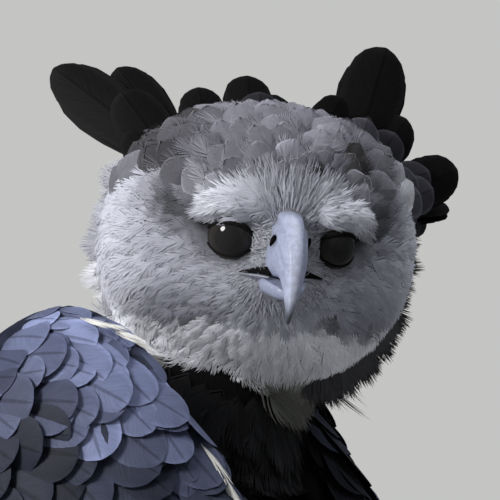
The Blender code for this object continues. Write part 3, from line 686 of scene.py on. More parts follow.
class Graph:
    """Short calls for the nodes of one shader tree."""

    def __init__(self, tree):
        self.tree = tree

    def add(self, kind, **settings):
        node = self.tree.nodes.new("ShaderNode" + kind)
        for name, value in settings.items():
            setattr(node, name, value)
        return node

    def feed(self, socket, value):
        if isinstance(value, bpy.types.NodeSocket):
            self.tree.links.new(value, socket)
        else:
            socket.default_value = value

    def give(self, node, **values):
        """Feeds a node's inputs by their names, with _ for each space."""
        for name, value in values.items():
            self.feed(node.inputs[name.replace("_", " ")], value)
        return node

    def first(self, node, *values):
        """Feeds a node's first inputs in their order and gives its first output."""
        for socket, value in zip(node.inputs, values):
            self.feed(socket, value)
        return node.outputs[0]

    def math(self, operation, *values):
        return self.first(self.add("Math", operation=operation), *values)

    def span(self, value, low, high, to_low=0.0, to_high=1.0):
        ramp = self.add("MapRange", interpolation_type="SMOOTHSTEP")
        return self.first(ramp, value, low, high, to_low, to_high)

    def vector(self, *values):
        return self.first(self.add("CombineXYZ"), *values)

    def mix(self, factor, first, second, blend="MIX"):
        node = self.add("Mix", data_type="RGBA", blend_type=blend)
        for k, value in ((0, factor), (6, first), (7, second)):
            self.feed(node.inputs[k], value)
        return node.outputs[2]

    def toned(self, colour, tone):
        """A colour times a number."""
        return self.mix(1.0, colour, self.vector(tone, tone, tone), "MULTIPLY")

    def noise(self, scale, detail, place=None):
        place = self.place() if place is None else place
        return self.give(self.add("TexNoise"), Vector=place, Scale=scale, Detail=detail).outputs[0]

    def stored(self, name, output="Fac"):
        return self.add("Attribute", attribute_name=name).outputs[output]

    def place(self):
        return self.add("TexCoord").outputs["Object"]

    def group(self, name, **values):
        return self.give(self.add("Group", node_tree=bpy.data.node_groups[name]), **values).outputs


class Material(Graph):
    """A material, with calls for its main shader."""

    def __init__(self, name, roughness, specular, **values):
        self.made = bpy.data.materials.new(name)
        self.made.use_nodes = True
        super().__init__(self.made.node_tree)
        self.set(Roughness=roughness, Specular_IOR_Level=specular, **values)

    def set(self, **values):
        self.give(self.tree.nodes["Principled BSDF"], **values)
        return self.made

    def relief(self, height, strength, distance):
        bump = self.give(self.add("Bump"), Strength=strength, Distance=distance, Height=height)
        self.set(Normal=bump.outputs["Normal"])


def node_group(name, inputs, *outputs):
    """An empty group, from its inputs' names and numbers and its outputs' names. Colour is a colour."""
    tree = bpy.data.node_groups.new(name, "ShaderNodeTree")
    for label, way in [(label, "INPUT") for label in inputs] + [(label, "OUTPUT") for label in outputs]:
        kind = "NodeSocketColor" if label == "Colour" else "NodeSocketFloat"
        socket = tree.interface.new_socket(label, in_out=way, socket_type=kind)
        if way == "INPUT":
            socket.default_value = inputs[label]
    graph = Graph(tree)
    given, made = tree.nodes.new("NodeGroupInput").outputs, tree.nodes.new("NodeGroupOutput").inputs
    return graph, given, made


VANE = {"Along": 0.5, "Aside": 0.0, "Chance": 0.5}  # what every feather's group reads


def barb_group():
    """The fine slanting barbs of a vane and the shaft down its middle."""
    graph, given, made = node_group("Barbs", {**VANE, "Barbs": 60.0}, "Grain", "Shaft")
    side = graph.math("ABSOLUTE", given["Aside"])
    slant = graph.math("MULTIPLY", side, 0.30)
    place = graph.math("MULTIPLY", graph.math("SUBTRACT", given["Along"], slant), given["Barbs"])
    drift = graph.math("MULTIPLY_ADD", given["Chance"], 37.0, graph.math("MULTIPLY", given["Aside"], 1.6))
    graph.feed(made["Grain"], graph.noise(1.0, 3.0, graph.vector(place, drift, given["Chance"])))
    graph.feed(made["Shaft"], graph.span(side, 0.03, 0.10, 1.0, 0.0))


def tone_group():
    """A feather's colour: darker at its root as painted shade, streaked by its barbs and a little unlike its
    neighbours.
    """
    graph, given, made = node_group("Feather tone", {
        "Colour": (0.5, 0.5, 0.5, 1.0), **VANE, "Grain": 0.5, "Shaft": 0.0, "Root shade": 0.6, "Streak": 0.4,
        "Variation": 0.25, "Edge light": 0.1, "Shaft dark": 0.3,
    }, "Colour")
    # Painted shade: the root, where the feathers before it overlap, is darker.
    tone = graph.span(given["Along"], 0.0, 0.55, given["Root shade"], 1.0)
    side = graph.math("ABSOLUTE", given["Aside"])
    rim = graph.math("MAXIMUM", graph.span(side, 0.72, 1.0), graph.span(given["Along"], 0.90, 1.0))
    shaft = graph.math("MULTIPLY", given["Shaft"], -1.0)
    grain = graph.math("SUBTRACT", given["Grain"], 0.5)
    chance = graph.math("SUBTRACT", given["Chance"], 0.5)
    pairs = ((grain, "Streak"), (chance, "Variation"), (rim, "Edge light"), (shaft, "Shaft dark"))
    for mark, strength in pairs:
        tone = graph.math("MULTIPLY", tone, graph.math("MULTIPLY_ADD", mark, given[strength], 1.0))
    graph.feed(made["Colour"], graph.toned(given["Colour"], tone))


def bar_group():
    """Bands across a feather, wavy and a little soft."""
    values = {**VANE, "Count": 4.0, "Share": 0.5, "Wave": 0.2, "Soft": 0.1}
    graph, given, made = node_group("Bars", values, "Mask")
    chance = graph.math("MULTIPLY", given["Chance"], 9.0)
    waver = graph.noise(3.0, 2.0, graph.vector(given["Aside"], given["Along"], chance))
    shift = graph.math("MULTIPLY", graph.math("SUBTRACT", waver, 0.5), given["Wave"])
    place = graph.math("FRACT", graph.math("MULTIPLY_ADD", given["Along"], given["Count"], shift))
    away = graph.math("MULTIPLY", graph.math("ABSOLUTE", graph.math("SUBTRACT", place, 0.5)), 2.0)
    low = graph.math("SUBTRACT", given["Share"], given["Soft"])
    high = graph.math("ADD", given["Share"], given["Soft"])
    graph.feed(made["Mask"], graph.span(away, low, high, 1.0, 0.0))


def coat_material(name, barbs, roughness, specular, bump, sheen, tone, bars=None):
    """Feathers that take their own colour from the mesh."""
    coat = Material(name, roughness, specular, Sheen_Weight=sheen)
    vane = {label: coat.stored(label.lower()) for label in VANE}
    grain = coat.group("Barbs", **vane, Barbs=barbs)
    colour = coat.stored("plumage", "Color")
    if bars:
        band, *pattern = bars
        mask = coat.group("Bars", **vane, **dict(zip(("Count", "Share", "Wave", "Soft"), pattern)))["Mask"]
        colour = coat.mix(mask, colour, (*band, 1.0))
    looks = dict(zip(("Root_shade", "Streak", "Variation", "Edge_light", "Shaft_dark"), tone))
    shape = {"Grain": grain["Grain"], "Shaft": grain["Shaft"]}
    toned = coat.group("Feather tone", Colour=colour, **vane, **shape, **looks)
    coat.relief(coat.math("MULTIPLY_ADD", grain["Shaft"], 0.6, grain["Grain"]), bump, 0.0004)
    return coat.set(Base_Color=toned["Colour"])


CHEEK = linear(160, 162, 174)
CROWN = linear(116, 116, 126)
BROW = linear(200, 202, 212)
MASK = linear(58, 59, 61)
RUFF = linear(226, 228, 236)
TEMPLE = linear(182, 184, 196)
# Painted shade for the underside of the head.
CHIN_SHADE = linear(104, 106, 100)
CHEEK_SHADE = linear(120, 122, 134)
NAPE = linear(66, 67, 72)
CREST = linear(13, 13, 14)
CREST_GREY = linear(78, 78, 86)
# Near black, for dark feathers of the ruff and crest and for painted shade.
FRINGE_AND_SHADE = linear(30, 28, 26)
BLACK = linear(13, 13, 14)
SLATE = linear(128, 137, 174)
SLATE_DARK = linear(42, 47, 66)
WHITE = linear(228, 227, 223)
BAR_GREY = linear(128, 128, 132)


def blend(first, second, share):
    return first + (second - first) * np.asarray(share)[..., None]


def varied(colour, rng, low, high, count=None):
    """A colour made a little darker or lighter for each feather."""
    return colour * rng.uniform(low, high, (count or len(colour), 1))


def folded(local):
    """Coordinates in the head's frame, the same on both sides of it."""
    return np.abs(local[:, 0]), local[:, 1], local[:, 2]


def marked(colour, markings):
    """A colour with others laid over it in their order, each by its own share."""
    for tone, share in markings:
        colour = blend(colour, tone, share)
    return colour


def head_colour(local):
    """The head's markings in the head's own frame, with painted shadow under the cheeks and shade under the
    chin.
    """
    x, y, z = folded(local)
    front = y < -0.015
    fold = z + 0.0235 + 0.0030 * np.sin(math.pi * smoothstep(0.018, 0.057, x))
    # Painted shadow: a thin dark line along the fold under the cheeks, above the white ruff.
    shadow_under_cheek = np.exp(-(fold / 0.0020) ** 2) * smoothstep(0.013, 0.024, x) * smoothstep(0.060, 0.048, x)
    crown = smoothstep(0.028, 0.040, z - 0.10 * np.maximum(x - 0.02, 0.0)) * smoothstep(0.068, 0.050, x)
    around_eye = np.exp(-(((x - 0.0235) / 0.0150) ** 2 + ((z - 0.0078) / 0.0112) ** 2) ** 2) * (y < -0.03)
    markings = (
        (TEMPLE, smoothstep(0.044, 0.064, x) * smoothstep(0.060, 0.020, z)),
        (RUFF, smoothstep(0.0005, 0.0035, -fold)),
        (MASK, 0.80 * shadow_under_cheek),
        # Painted shade under the chin.
        (CHIN_SHADE, smoothstep(0.047, 0.055, -z)),
        (CHEEK_SHADE, 0.70 * spot(x, z, 0.040, -0.020, 0.014, 0.009)),
        (BROW, 0.80 * spot(x, z, 0.013, 0.0, 0.009, 0.010) * front),
        (CROWN, crown),
        (BROW, spot(x, z, 0.024, 0.0265, 0.015, 0.0065) * front),
        (MASK * 0.5, 0.92 * spot(x, z, 0.0415, 0.0195, 0.009, 0.009) * front),
        (MASK, 0.85 * around_eye),
        (BLACK, spot(x, z, 0.0350, 0.0130, 0.006, 0.004) * front),
        (NAPE, smoothstep(0.026, 0.046, y) * smoothstep(-0.045, 0.0, z)),
    )
    return marked(CHEEK, markings)


def body_colour(points, normals, ragged=0.0):
    """The markings of the neck and trunk: black collar and breast band, white belly, slate back."""
    z = points[:, 2] + ragged
    back = smoothstep(0.0, 0.30, normals[:, 1] + 0.25 * normals[:, 2])
    colour = blend(WHITE, BLACK, smoothstep(0.458, 0.468, z))
    high = smoothstep(0.500, 0.530, z)[:, None]
    return blend(colour, SLATE_DARK * 0.8 * (1.0 - high) + BLACK * high, back)


def scatter(skin, density, rng):
    """Random places on the skin. Density gives how many there are to a square metre at each place."""
    a, b, c = (skin.points[skin.corners[:, k]] for k in range(3))
    area = np.linalg.norm(np.cross(b - a, c - a), axis=1) / 2.0
    count = rng.poisson(area * density((a + b + c) / 3.0))
    first, second = rng.uniform(0.0, 1.0, (2, count.sum(), 1))
    over = first + second > 1.0
    first, second = np.where(over, 1.0 - first, first), np.where(over, 1.0 - second, second)
    a, b, c = (np.repeat(corner, count, axis=0) for corner in (a, b, c))
    return a + (b - a) * first + (c - a) * second


def ripple(points, size, seed):
    """A smooth wandering number between about -1 and 1."""
    waves = np.random.default_rng(seed).normal(0.0, 1.0, (6, 3)) / size
    phase = np.arange(6) * 1.7
    return np.sin(points @ waves.T + phase).sum(axis=1) / 3.0


def grown(skin, rng, name, span, angles, step_along, step_round, jitter, slack=0.0045):
    """Roots in rows over what a form shows of itself outside the whole bird, with the flow there."""
    form = FORMS[name]
    along, angle = form.staggered(span, angles, step_along, step_round, rng, jitter)
    point = form.point(along, angle, -COAT_DEPTH[name])
    keep = skin.nearest(point)[3] < slack
    return point[keep], form.flow(along, angle)[keep], along[keep], angle[keep]


BILL_ROOT = np.array((0.0, -0.060, 0.002))


def head_flow(root, seed, wander=0.30):
    """Away from the bill over the whole head, wandering a little, with a sag at the cheeks and the nape."""
    local = to_head(root)
    away = unit(local - BILL_ROOT)
    x, y, z = folded(local)
    low_cheek = smoothstep(0.022, 0.050, x) * smoothstep(0.030, -0.010, z)
    away[:, 2] -= 0.60 * low_cheek + 1.2 * smoothstep(0.015, 0.050, y)
    turn = wander * ripple(root, 0.009, seed)[:, None]
    swirl = np.cross(np.array((0.0, -1.0, 0.0)), away)
    return unit(away + swirl * turn) @ HEAD_AXES.T


def clear_of_eyes_and_bill(local, margin=0.0):
    """True away from the openings of the eyes, the root of the bill and the mouth."""
    x, y, z = folded(local)
    eye = ((x - 0.0232) / (0.0122 + margin)) ** 2 + ((z - 0.0076) / (0.0080 + margin)) ** 2 < 1.0
    bill = (x / (0.0076 + margin)) ** 2 + ((z - 0.006) / (0.0155 + margin)) ** 2 < 1.0
    lower = (x < 0.0072 + margin) & (z > -0.014) & (z < 0.0)
    share = np.clip((x - 0.007) / 0.013, 0.0, 1.0)
    mouth = (np.abs(z + 0.0036 + 0.0030 * share) < 0.0024 - 0.0018 * share + margin) & (x < 0.0180)
    return ~((eye & (y < -0.030)) | ((bill | lower | mouth) & (y < -0.040)))


TUFTS = 1900e3  # how many tufts there are to a square metre where they are thickest


def face_tufts(skin, rng):
    """The fine hair-like feathers of the face: short bristles by the bill, longer ones over the forehead."""
    def density(points):
        local = to_head(points)
        x, y, z = folded(local)
        near = smoothstep(0.044, 0.024, np.linalg.norm(local - BILL_ROOT, axis=1))
        forehead = smoothstep(0.016, 0.024, z) * smoothstep(0.038, 0.030, z) * smoothstep(0.030, 0.018, x)
        inside = (y < -0.020) & (np.linalg.norm(local, axis=1) < 0.080)
        return np.where(inside, TUFTS * np.maximum(near, forehead), 0.0)

    root = scatter(skin, density, rng)
    root = root[clear_of_eyes_and_bill(to_head(root))]
    local = to_head(root)
    reach = np.linalg.norm(local - BILL_ROOT, axis=1)
    forehead = smoothstep(0.012, 0.026, local[:, 2]) * smoothstep(0.026, 0.008, np.abs(local[:, 0]))
    length = np.clip(0.0034 + 0.15 * (reach - 0.015), 0.0034, 0.0090) + 0.0055 * forehead
    length = length * rng.uniform(0.7, 1.25, len(root))
    width = np.clip(0.00036 + 0.006 * reach, 0.00036, 0.0006)
    colour = varied(head_colour(local), rng, 0.78, 1.14)
    lift = 0.12 + 0.12 * rng.uniform(0.0, 1.0, len(root)) + 0.30 * smoothstep(0.022, 0.012, reach)
    return blades(skin, root, head_flow(root, 5), length, width, colour, rng, STRAND, 4, 2,
                  lift=lift, curl=0.04, camber=0.0, yaw=0.16, roll=0.25)


def brow_feathers(skin, rng):
    """The shaggy white feathers that overhang each eye and the dark ones at their outer end."""
    batches, count = [], 150
    for side in SIDES:
        x = rng.uniform(0.008, 0.036, count)
        z = 0.0195 + 0.0090 * rng.uniform(0.0, 1.0, count) - 0.0014 * smoothstep(0.025, 0.036, x)
        local = xyz(side * x, -0.046, z)
        rise = -0.10 + (0.9 * smoothstep(0.0235, 0.0285, z) - 0.28 * smoothstep(0.016, 0.030, x))
        flow = unit(xyz(side * 1.0, 0.05, rise)) @ HEAD_AXES.T
        colour = varied(head_colour(local), rng, 0.90, 1.06)
        batches.append(plumes(
            skin, from_head(local), flow, rng.uniform(0.0095, 0.0145, count), 0.0056, colour, rng,
            11, 0.0006, lift=0.26, curl=0.0, frizz=0.20, yaw=0.18, tip_light=0.12, open_up=1.0))
    return batches


def bill_bristles(skin, rng):
    """The pale bristles that lean forward over the bill's root, up to the nostril and along the mouth."""
    batches, count = [], 420
    for side in SIDES:
        local = xyz(side * rng.uniform(0.0072, 0.0185, count), -0.052, rng.uniform(-0.0015, 0.0165, count))
        flow = xyz(-side * rng.uniform(0.10, 0.50, count), -0.70, rng.uniform(-0.55, 0.25, count))
        flow = unit(flow) @ HEAD_AXES.T
        colour = varied(blend(head_colour(local), BROW, 0.5), rng, 0.75, 1.08)
        length, lift = rng.uniform(0.0042, 0.0078, count), rng.uniform(0.30, 0.60, count)
        batches.append(blades(skin, from_head(local), flow, length, 0.00042, colour, rng, STRAND, 5, 2,
                              lift=lift, curl=-0.20, camber=0.0, yaw=0.30, roll=0.3))
    return batches


def ring_of_face(skin, rng, span, angles, step_along, step_round, slack=0.0050, jitter=0.30):
    """Places for feathers in rings round the face, between two angles in degrees."""
    angles = tuple(math.radians(a) for a in angles)
    root, _, along, _ = grown(skin, rng, "head", span, angles, step_along, step_round, jitter, slack)
    local = to_head(root)
    keep = clear_of_eyes_and_bill(local, 0.003)
    return root[keep], local[keep], along[keep]


def cheek_plumes(skin, rng):
    """The soft feathers of the cheeks and chin, longer further from the bill."""
    root, local, along = ring_of_face(skin, rng, (0.14, 0.54), (150, 390), 0.0028, 0.0050)
    far = smoothstep(0.18, 0.48, along)
    chin = smoothstep(0.012, 0.004, np.abs(local[:, 0])) * (local[:, 2] < 0.0) * (1.0 - far)
    length = (0.0110 + 0.0090 * far + 0.0040 * chin) * rng.uniform(0.90, 1.12, len(root))
    colour = varied(head_colour(local), rng, 0.90, 1.07)
    return plumes(skin, root, head_flow(root, 9, 0.20), length, 0.0082 + 0.0056 * far, colour, rng, 21,
                  0.00062, lift=0.14 + 0.08 * far, frizz=0.08, yaw=0.06, roll=0.06, tip_light=0.10,
                  rough=0.008)


def disc_plumes(skin, rng):
    """The longer feathers round the edge of the face, which stand out from it as a disc."""
    root, local, along = ring_of_face(skin, rng, (0.44, 0.66), (156, 384), 0.0032, 0.0060, 0.006)
    low = smoothstep(0.000, 0.055, -local[:, 2])
    length = (0.0175 + 0.0085 * low) * rng.uniform(0.90, 1.10, len(root))
    colour = varied(head_colour(local), rng, 0.90, 1.05)
    lift = 0.30 + 0.25 * smoothstep(0.46, 0.60, along)
    return plumes(skin, root, head_flow(root, 13, 0.15), length, 0.0135, colour, rng, 25, 0.00072,
                  lift=lift, curl=-0.05, frizz=0.08, yaw=0.07, camber=0.35, tip_light=0.08, rough=0.008)


# How far the tips of the ruff reach from the middle of the head, by the angle round the face in degrees.
RUFF_TIPS = (
    (150, 0.073), (164, 0.074), (185, 0.075), (197, 0.077), (215, 0.077), (238, 0.076), (264, 0.078),
    (285, 0.085), (312, 0.093), (333, 0.090), (350, 0.085), (370, 0.082), (385, 0.079), (400, 0.074),
)
# Each rank of the ruff from the back forwards: how much shorter it is, how dark it is on the near side and
# how much darker it is painted beyond it, as painted shade.
RUFF_RANKS = ((0.0, 0.20, 0.80), (0.0040, 0.06, 0.86), (0.0085, 0.0, 0.84), (0.0130, 0.0, 0.78))


def ruff_locks(skin, rng):
    """The long feathers of the ruff behind the face, pale on the near side and painted almost black beyond it
    as painted shade.
    """
    batches, count, back = [], 58, np.array((0.0, 1.0, 0.0))
    for rank, (shorter, dark, darker) in enumerate(RUFF_RANKS):
        degrees = np.linspace(158.0, 400.0, count) + rng.uniform(-1.6, 1.6, count)
        reach = read_off(RUFF_TIPS, degrees) - shorter + rng.normal(0.0, 0.0016, count)
        turn = np.radians(degrees)
        far_side = smoothstep(232.0, 262.0, degrees)
        out = xyz(np.cos(turn), 0.0, np.sin(turn))
        root = out * (0.057 - 0.009 * far_side)[:, None] + back * (0.026 - 0.010 * rank)
        tip = out * reach[:, None] + back * (0.036 - 0.0115 * rank)
        tip[:, 2] -= 0.004
        near = blend(TEMPLE, RUFF, smoothstep(186.0, 204.0, degrees))
        fringe = np.clip(dark + darker * far_side, 0.0, 1.0)
        # Painted shade: from below the face round to the far side the locks are painted darker, then near
        # black.
        colour = marked(near, ((CHEEK * 0.8, far_side), (FRINGE_AND_SHADE, fringe)))
        colour = varied(colour, rng, 0.85, 1.10)
        laid = standing(skin, from_head(root), from_head(tip), (out * 0.3 - back) @ HEAD_AXES.T, 0.10)
        length = np.linalg.norm(tip - root, axis=1)
        batches.append(plumes(
            skin, from_head(root), None, length, 0.0150, colour, rng, 47, 0.00074, lift=0.0, curl=-0.10,
            frizz=0.05, roll=0.20, camber=0.30, tip_light=-0.15, laid=laid, rough=0.020))
    return batches


def ruff_feathers(skin, rng):
    """The dark-tipped feathers that close the disc of the face behind and below, darker below and on the far
    side as painted shade.
    """
    root, local, _ = ring_of_face(skin, rng, (0.60, 0.82), (160, 400), 0.0040, 0.0066, 0.007, 0.25)
    low = smoothstep(0.000, 0.055, -local[:, 2])
    far_side = smoothstep(-0.020, 0.020, local[:, 0])
    length = (0.0195 + 0.0130 * low + 0.0080 * far_side) * rng.uniform(0.90, 1.10, len(root))
    # A little darkening of their own, and painted shade: darker lower down and much darker on the far side.
    colour = blend(head_colour(local), FRINGE_AND_SHADE, 0.20 + 0.20 * low + 0.55 * far_side)
    colour = varied(colour, rng, 0.80, 1.10)
    return plumes(skin, root, head_flow(root, 13, 0.15), length, 0.0145, colour, rng, 23, 0.0008,
                  lift=0.72 + 0.12 * far_side, curl=-0.06, frizz=0.14, camber=0.35, tip_light=-0.30)


def crest_rows(count=None):
    """The roots, tips and half widths of the crest's first feathers, or of all, in metres."""
    return (np.array(column, float) * MM for column in zip(*CREST_ROWS[:count]))


def crest_closeness(local):
    """1 beside the raised feathers of the crest and 0 away from them."""
    root, tip, _ = crest_rows(RAISED)
    way = (tip - root)[None]
    offset = local[:, None] - root[None]
    share = np.clip(dot(offset, way) / dot(way, way), 0.0, 0.6)
    away = np.linalg.norm(offset - way * share, axis=-1).min(axis=1)
    return smoothstep(0.0270, 0.0150, away - 0.0075 * (local[:, 0] < -0.020))


def crown_rows(skin, rng, reach, steps, jitter):
    """Roots over the crown, their places in the head's frame and along it, and their sizes."""
    root, local, along = ring_of_face(skin, rng, (0.15, reach), (22, 158), *steps, jitter=jitter)
    keep = local[:, 2] > 0.026
    root, local, along = root[keep], local[keep], along[keep]
    size = 0.62 + 0.50 * smoothstep(0.15, 0.42, along)
    return root, local, along, size


def crown_colour(root, local, grey, back, foot, near):
    """The crown's greys: dark beside the crest, painted shade between the crown's lobes, pale over a temple.
    """
    x, z = local[:, 0], local[:, 2]
    # Painted shade in the hollows between the crown's lobes.
    shade_between_lobes = np.maximum(spot(x, z, 0.030, 0.0375, 0.0075, 0.0065), spot(x, z, 0.012, 0.0330, 0.0055, 0.0055))
    stack = np.maximum(spot(x, z, -0.048, 0.034, 0.012, 0.008), spot(x, z, -0.039, 0.047, 0.009, 0.007))
    mottle = 0.62 * smoothstep(-0.1, 0.9, ripple(root, 0.011, 31))
    markings = (
        (CROWN, grey),
        (NAPE, np.maximum(back * smoothstep(0.006, 0.036, local[:, 1]), mottle)),
        (foot, near * crest_closeness(local)),
        (FRINGE_AND_SHADE, np.maximum(np.minimum(1.5 * shade_between_lobes, 0.9), 0.92 * stack)),
        (RUFF, 0.80 * spot(x, z, 0.059, 0.030, 0.012, 0.012)),
    )
    return marked(head_colour(local), markings)


def crown_feathers(skin, rng):
    """Soft rounded feathers in pale-edged scallops over the forehead and the crown, dark beside the crest."""
    root, local, along, size = crown_rows(skin, rng, 0.76, (0.0060, 0.0100), 0.36)
    size = size * rng.uniform(0.88, 1.12, len(root))
    colour = varied(crown_colour(root, local, 0.75, 1.0, linear(50, 50, 56), 0.9), rng, 0.70, 1.02)
    lift = 0.20 + 0.15 * smoothstep(0.2, 0.5, along)
    return blades(skin, root, head_flow(root, 17), 0.0190 * size, 0.0195 * size, colour, rng, ROUND_TIP, 12,
                  17, lift=lift, curl=0.08, camber=0.42, yaw=0.16, roll=0.12, ragged=0.045)


def crown_down(skin, rng):
    """Loose fine barbs over the crown's rounded feathers, which keep their edges soft."""
    root, local, along, size = crown_rows(skin, rng, 0.72, (0.0056, 0.0070), 0.40)
    colour = varied(crown_colour(root, local, 0.6, 0.0, linear(56, 56, 62), 0.85), rng, 0.80, 1.18)
    lift = 0.20 + 0.14 * smoothstep(0.2, 0.5, along)
    return plumes(skin, root, head_flow(root, 17), 0.0170 * size, 0.0150 * size, colour, rng, 31, 0.00040,
                  lift=lift, curl=0.10, frizz=0.04, camber=0.42, yaw=0.20, tip_light=0.30, open_up=1.45,
                  rough=0.006)


def nape_feathers(skin, rng):
    """The dark feathers at the back of the head."""
    root = grown(skin, rng, "head", (0.62, 0.99), ALL_ROUND, 0.0080, 0.0095, 0.25, 0.006)[0]
    local = to_head(root)
    dark = blend(NAPE, BLACK, smoothstep(0.0, -0.05, local[:, 2]))
    colour = varied(blend(head_colour(local), dark, smoothstep(0.020, 0.036, local[:, 1])), rng, 0.85, 1.12)
    return blades(skin, root, head_flow(root, 21, 0.12), 0.021, 0.014, colour, rng,
                  ROUND_TIP, 7, 5, lift=0.22, camber=0.30, ragged=0.05)


# The crest's feathers, in millimetres in the head's frame: root, tip and half width.
CREST_ROWS = [
    ((-37, 36, 29), (-93, 75, 64), 13.0),
    ((-33, 43, 30), (-62, 79, 67), 12.0),
    ((-36, 25, 25), (-65, 45, 59), 12.8),
    ((-38, 15, 20), (-64, 27, 42), 8.5),
    ((-32, 14, 26), (-53, 22, 47), 8.5),
    ((-22, 33, 37), (-28, 51, 64), 10.8),
    ((-5, 31, 47), (-6, 48, 72), 11.2),
    ((20, 11, 47), (33, 19, 69), 8.2),
    ((41, 19, 38), (58, 47, 92), 15.0),
    ((49, 21, 34), (68, 33, 61), 10.5),
    ((56, 9, 26), (93, 22, 41), 11.5),
    ((60, 14, 19), (91, 33, 25), 9.5),
    ((-47, 34, 10), (-66, 53, 21), 8.0),
    ((-20, 50, 24), (-34, 92, 30), 12.0),
    ((0, 53, 20), (2, 99, 14), 13.0),
    ((22, 50, 22), (40, 90, 26), 12.0),
    ((10, 44, 36), (16, 80, 62), 12.5),
]
RAISED = 12  # how many of them stand up


def crest_feathers(skin, rng):
    """The raised crest: each main feather with two slighter ones that lie behind it."""
    root, tip, half = crest_rows()
    upright = (tip[:, 2] - root[:, 2] > 0.010)[:, None]
    facing = np.where(upright, (0.0, -1.0, 0.25), (0.0, -0.3, 1.0))
    batches = []
    for back, turn, size in ((0.0, 0.0, 1.0), (0.0022, 0.05, 0.95), (0.0040, -0.045, 0.90)):
        way = tip - root
        aside = np.cross(unit(way), unit(facing)) * np.linalg.norm(way, axis=1, keepdims=True)
        far = root + (way * math.cos(turn) + aside * math.sin(turn)) * size
        push = -unit(facing) * back
        batches.append(free_blades(
            from_head(root + push), from_head(far + push), facing @ HEAD_AXES.T, half * (size ** 0.5),
            CREST, skin, rng, OVAL, 26, 13, camber=0.14, bend=-0.06))
    return batches


def crest_scallops(skin, rng):
    """Short rounded grey feathers stacked one before another at the foot of each raised feather."""
    root, tip, half = crest_rows(RAISED)
    batches = []
    for rank in range(4):
        share = 0.66 - 0.10 * rank
        way = (tip - root) * share
        way = way * np.minimum(1.0, (0.030 - 0.002 * rank) / np.linalg.norm(way, axis=1, keepdims=True))
        start = root + np.array((0.0, -0.0035 - 0.0036 * rank, 0.0))
        start = start + rng.normal(0.0, 0.0022, start.shape)
        facing = np.tile(np.array((0.0, -1.0, 0.35)), (len(root), 1)) + rng.normal(0.0, 0.12, root.shape)
        colour = varied(blend(CREST, CREST_GREY, 0.25 + 0.22 * rank), rng, 0.8, 1.2, len(root))
        batches.append(free_blades(
            from_head(start), from_head(start + way), facing @ HEAD_AXES.T, np.minimum(half * 0.9, 0.0095),
            colour, skin, rng, OVAL, 14, 9, camber=0.30, bend=-0.10))
    return batches


def neck_feathers(skin, rng):
    """The black feathers of the neck, loose and a little paler at their tips."""
    root, flow, _, _ = grown(skin, rng, "neck", (0.0, 0.90), ALL_ROUND, 0.0080, 0.0090, 0.3)
    colour = varied(BLACK, rng, 0.8, 3.0, len(root))
    length = rng.uniform(0.024, 0.034, len(root))
    return plumes(skin, root, -flow, length, 0.0185, colour, rng, 31, 0.00100, lift=0.20, camber=0.35,
                  yaw=0.12, roll=0.06, frizz=0.05, tip_light=1.5, rough=0.006)


def trunk_feathers(skin, rng):
    """The feathers of the breast, belly and back."""
    root, flow, _, _ = grown(skin, rng, "torso", (0.02, 0.99), ALL_ROUND, 0.0100, 0.0115, 0.3)
    colour = body_colour(root, skin.nearest(root)[1], rng.normal(0.0, 0.009, len(root)))
    colour = varied(colour, rng, 0.86, 1.06)
    return plumes(skin, root, -flow, rng.uniform(0.030, 0.038, len(root)), 0.0225, colour, rng,
                  19, 0.0017, lift=0.17, camber=0.28, yaw=0.10, frizz=0.08, tip_light=0.20)


def thigh_feathers(skin, rng, side):
    name = f"thigh_{SIDES[side]}"
    root, flow, along, _ = grown(skin, rng, name, (0.02, 0.97), ALL_ROUND, 0.0088, 0.0090, 0.3)
    length = (0.029 - 0.012 * along) * rng.uniform(0.9, 1.1, len(root))
    colour = varied(WHITE, rng, 0.92, 1.04, len(root))
    return blades(skin, root, flow, length, 0.0165 - 0.005 * along, colour, rng,
                  ROUND_TIP, 11, 7, lift=0.11, camber=0.24, yaw=0.07, ragged=0.03)


def tail_coverts(skin, rng):
    root, flow, _, angle = grown(skin, rng, "tail", (0.02, 0.85), ALL_ROUND, 0.0110, 0.0120, 0.2)
    colour = blend(WHITE, SLATE_DARK * 0.8, smoothstep(-0.2, 0.3, np.sin(angle)))
    return blades(skin, root, flow, 0.040, 0.022, colour, rng, ROUND_TIP, 8, 5, lift=0.07, camber=0.2)


TAIL_PAIRS = 6
TAIL_SPREAD = math.radians(8.5)
TAIL_STEP = 0.0026
TAIL_TIP = ((0.0, 0.55), (0.12, 0.85), (0.6, 1.0), (0.92, 0.92), (0.98, 0.70), (1.0, 0.35))


def tail_feathers(skin, rng):
    """Twelve long feathers in a fan, the middle pair on top."""
    root, tip = [], []
    for rank in range(TAIL_PAIRS):
        for side in SIDES:
            turn = side * TAIL_SPREAD * (rank + 0.35) / (TAIL_PAIRS - 0.65)
            height = TAIL_STEP * (3.0 - rank) + (TAIL_STEP / 2.0 if side > 0 else 0.0)
            start = TAIL_ROOT + TAIL_ALONG * 0.030 + TAIL_ABOVE * height
            start = start + np.array((side * (0.003 + 0.004 * rank), 0.0, 0.0))
            way = TAIL_ALONG * math.cos(turn) + np.array((math.sin(turn), 0.0, 0.0))
            root.append(start)
            tip.append(start + way * (TAIL_LENGTH - 0.030 - 0.0035 * rank))
    return free_blades(root, tip, np.tile(TAIL_ABOVE, (len(root), 1)), 0.026, linear(40, 41, 46), skin, rng,
                       TAIL_TIP, 26, 7, camber=0.04, bend=-0.004)


def view_aside(point, side):
    """How far aside of the head a wing's point is in the photograph, the right wing's as if on the left."""
    return (point * (side, 1.0, 1.0)) @ ACROSS_VIEW


def shoulder_flow(side, point):
    """Backwards at the front of a folded wing, then ever more steeply down, then along the wing."""
    steep = np.radians(14.0 + 74.0 * smoothstep(-0.122, -0.022, view_aside(point, side)))
    steep = steep + (math.radians(62.0) - steep) * smoothstep(0.545, 0.480, point[:, 2])
    return xyz(0.0, np.cos(steep), -np.sin(steep))


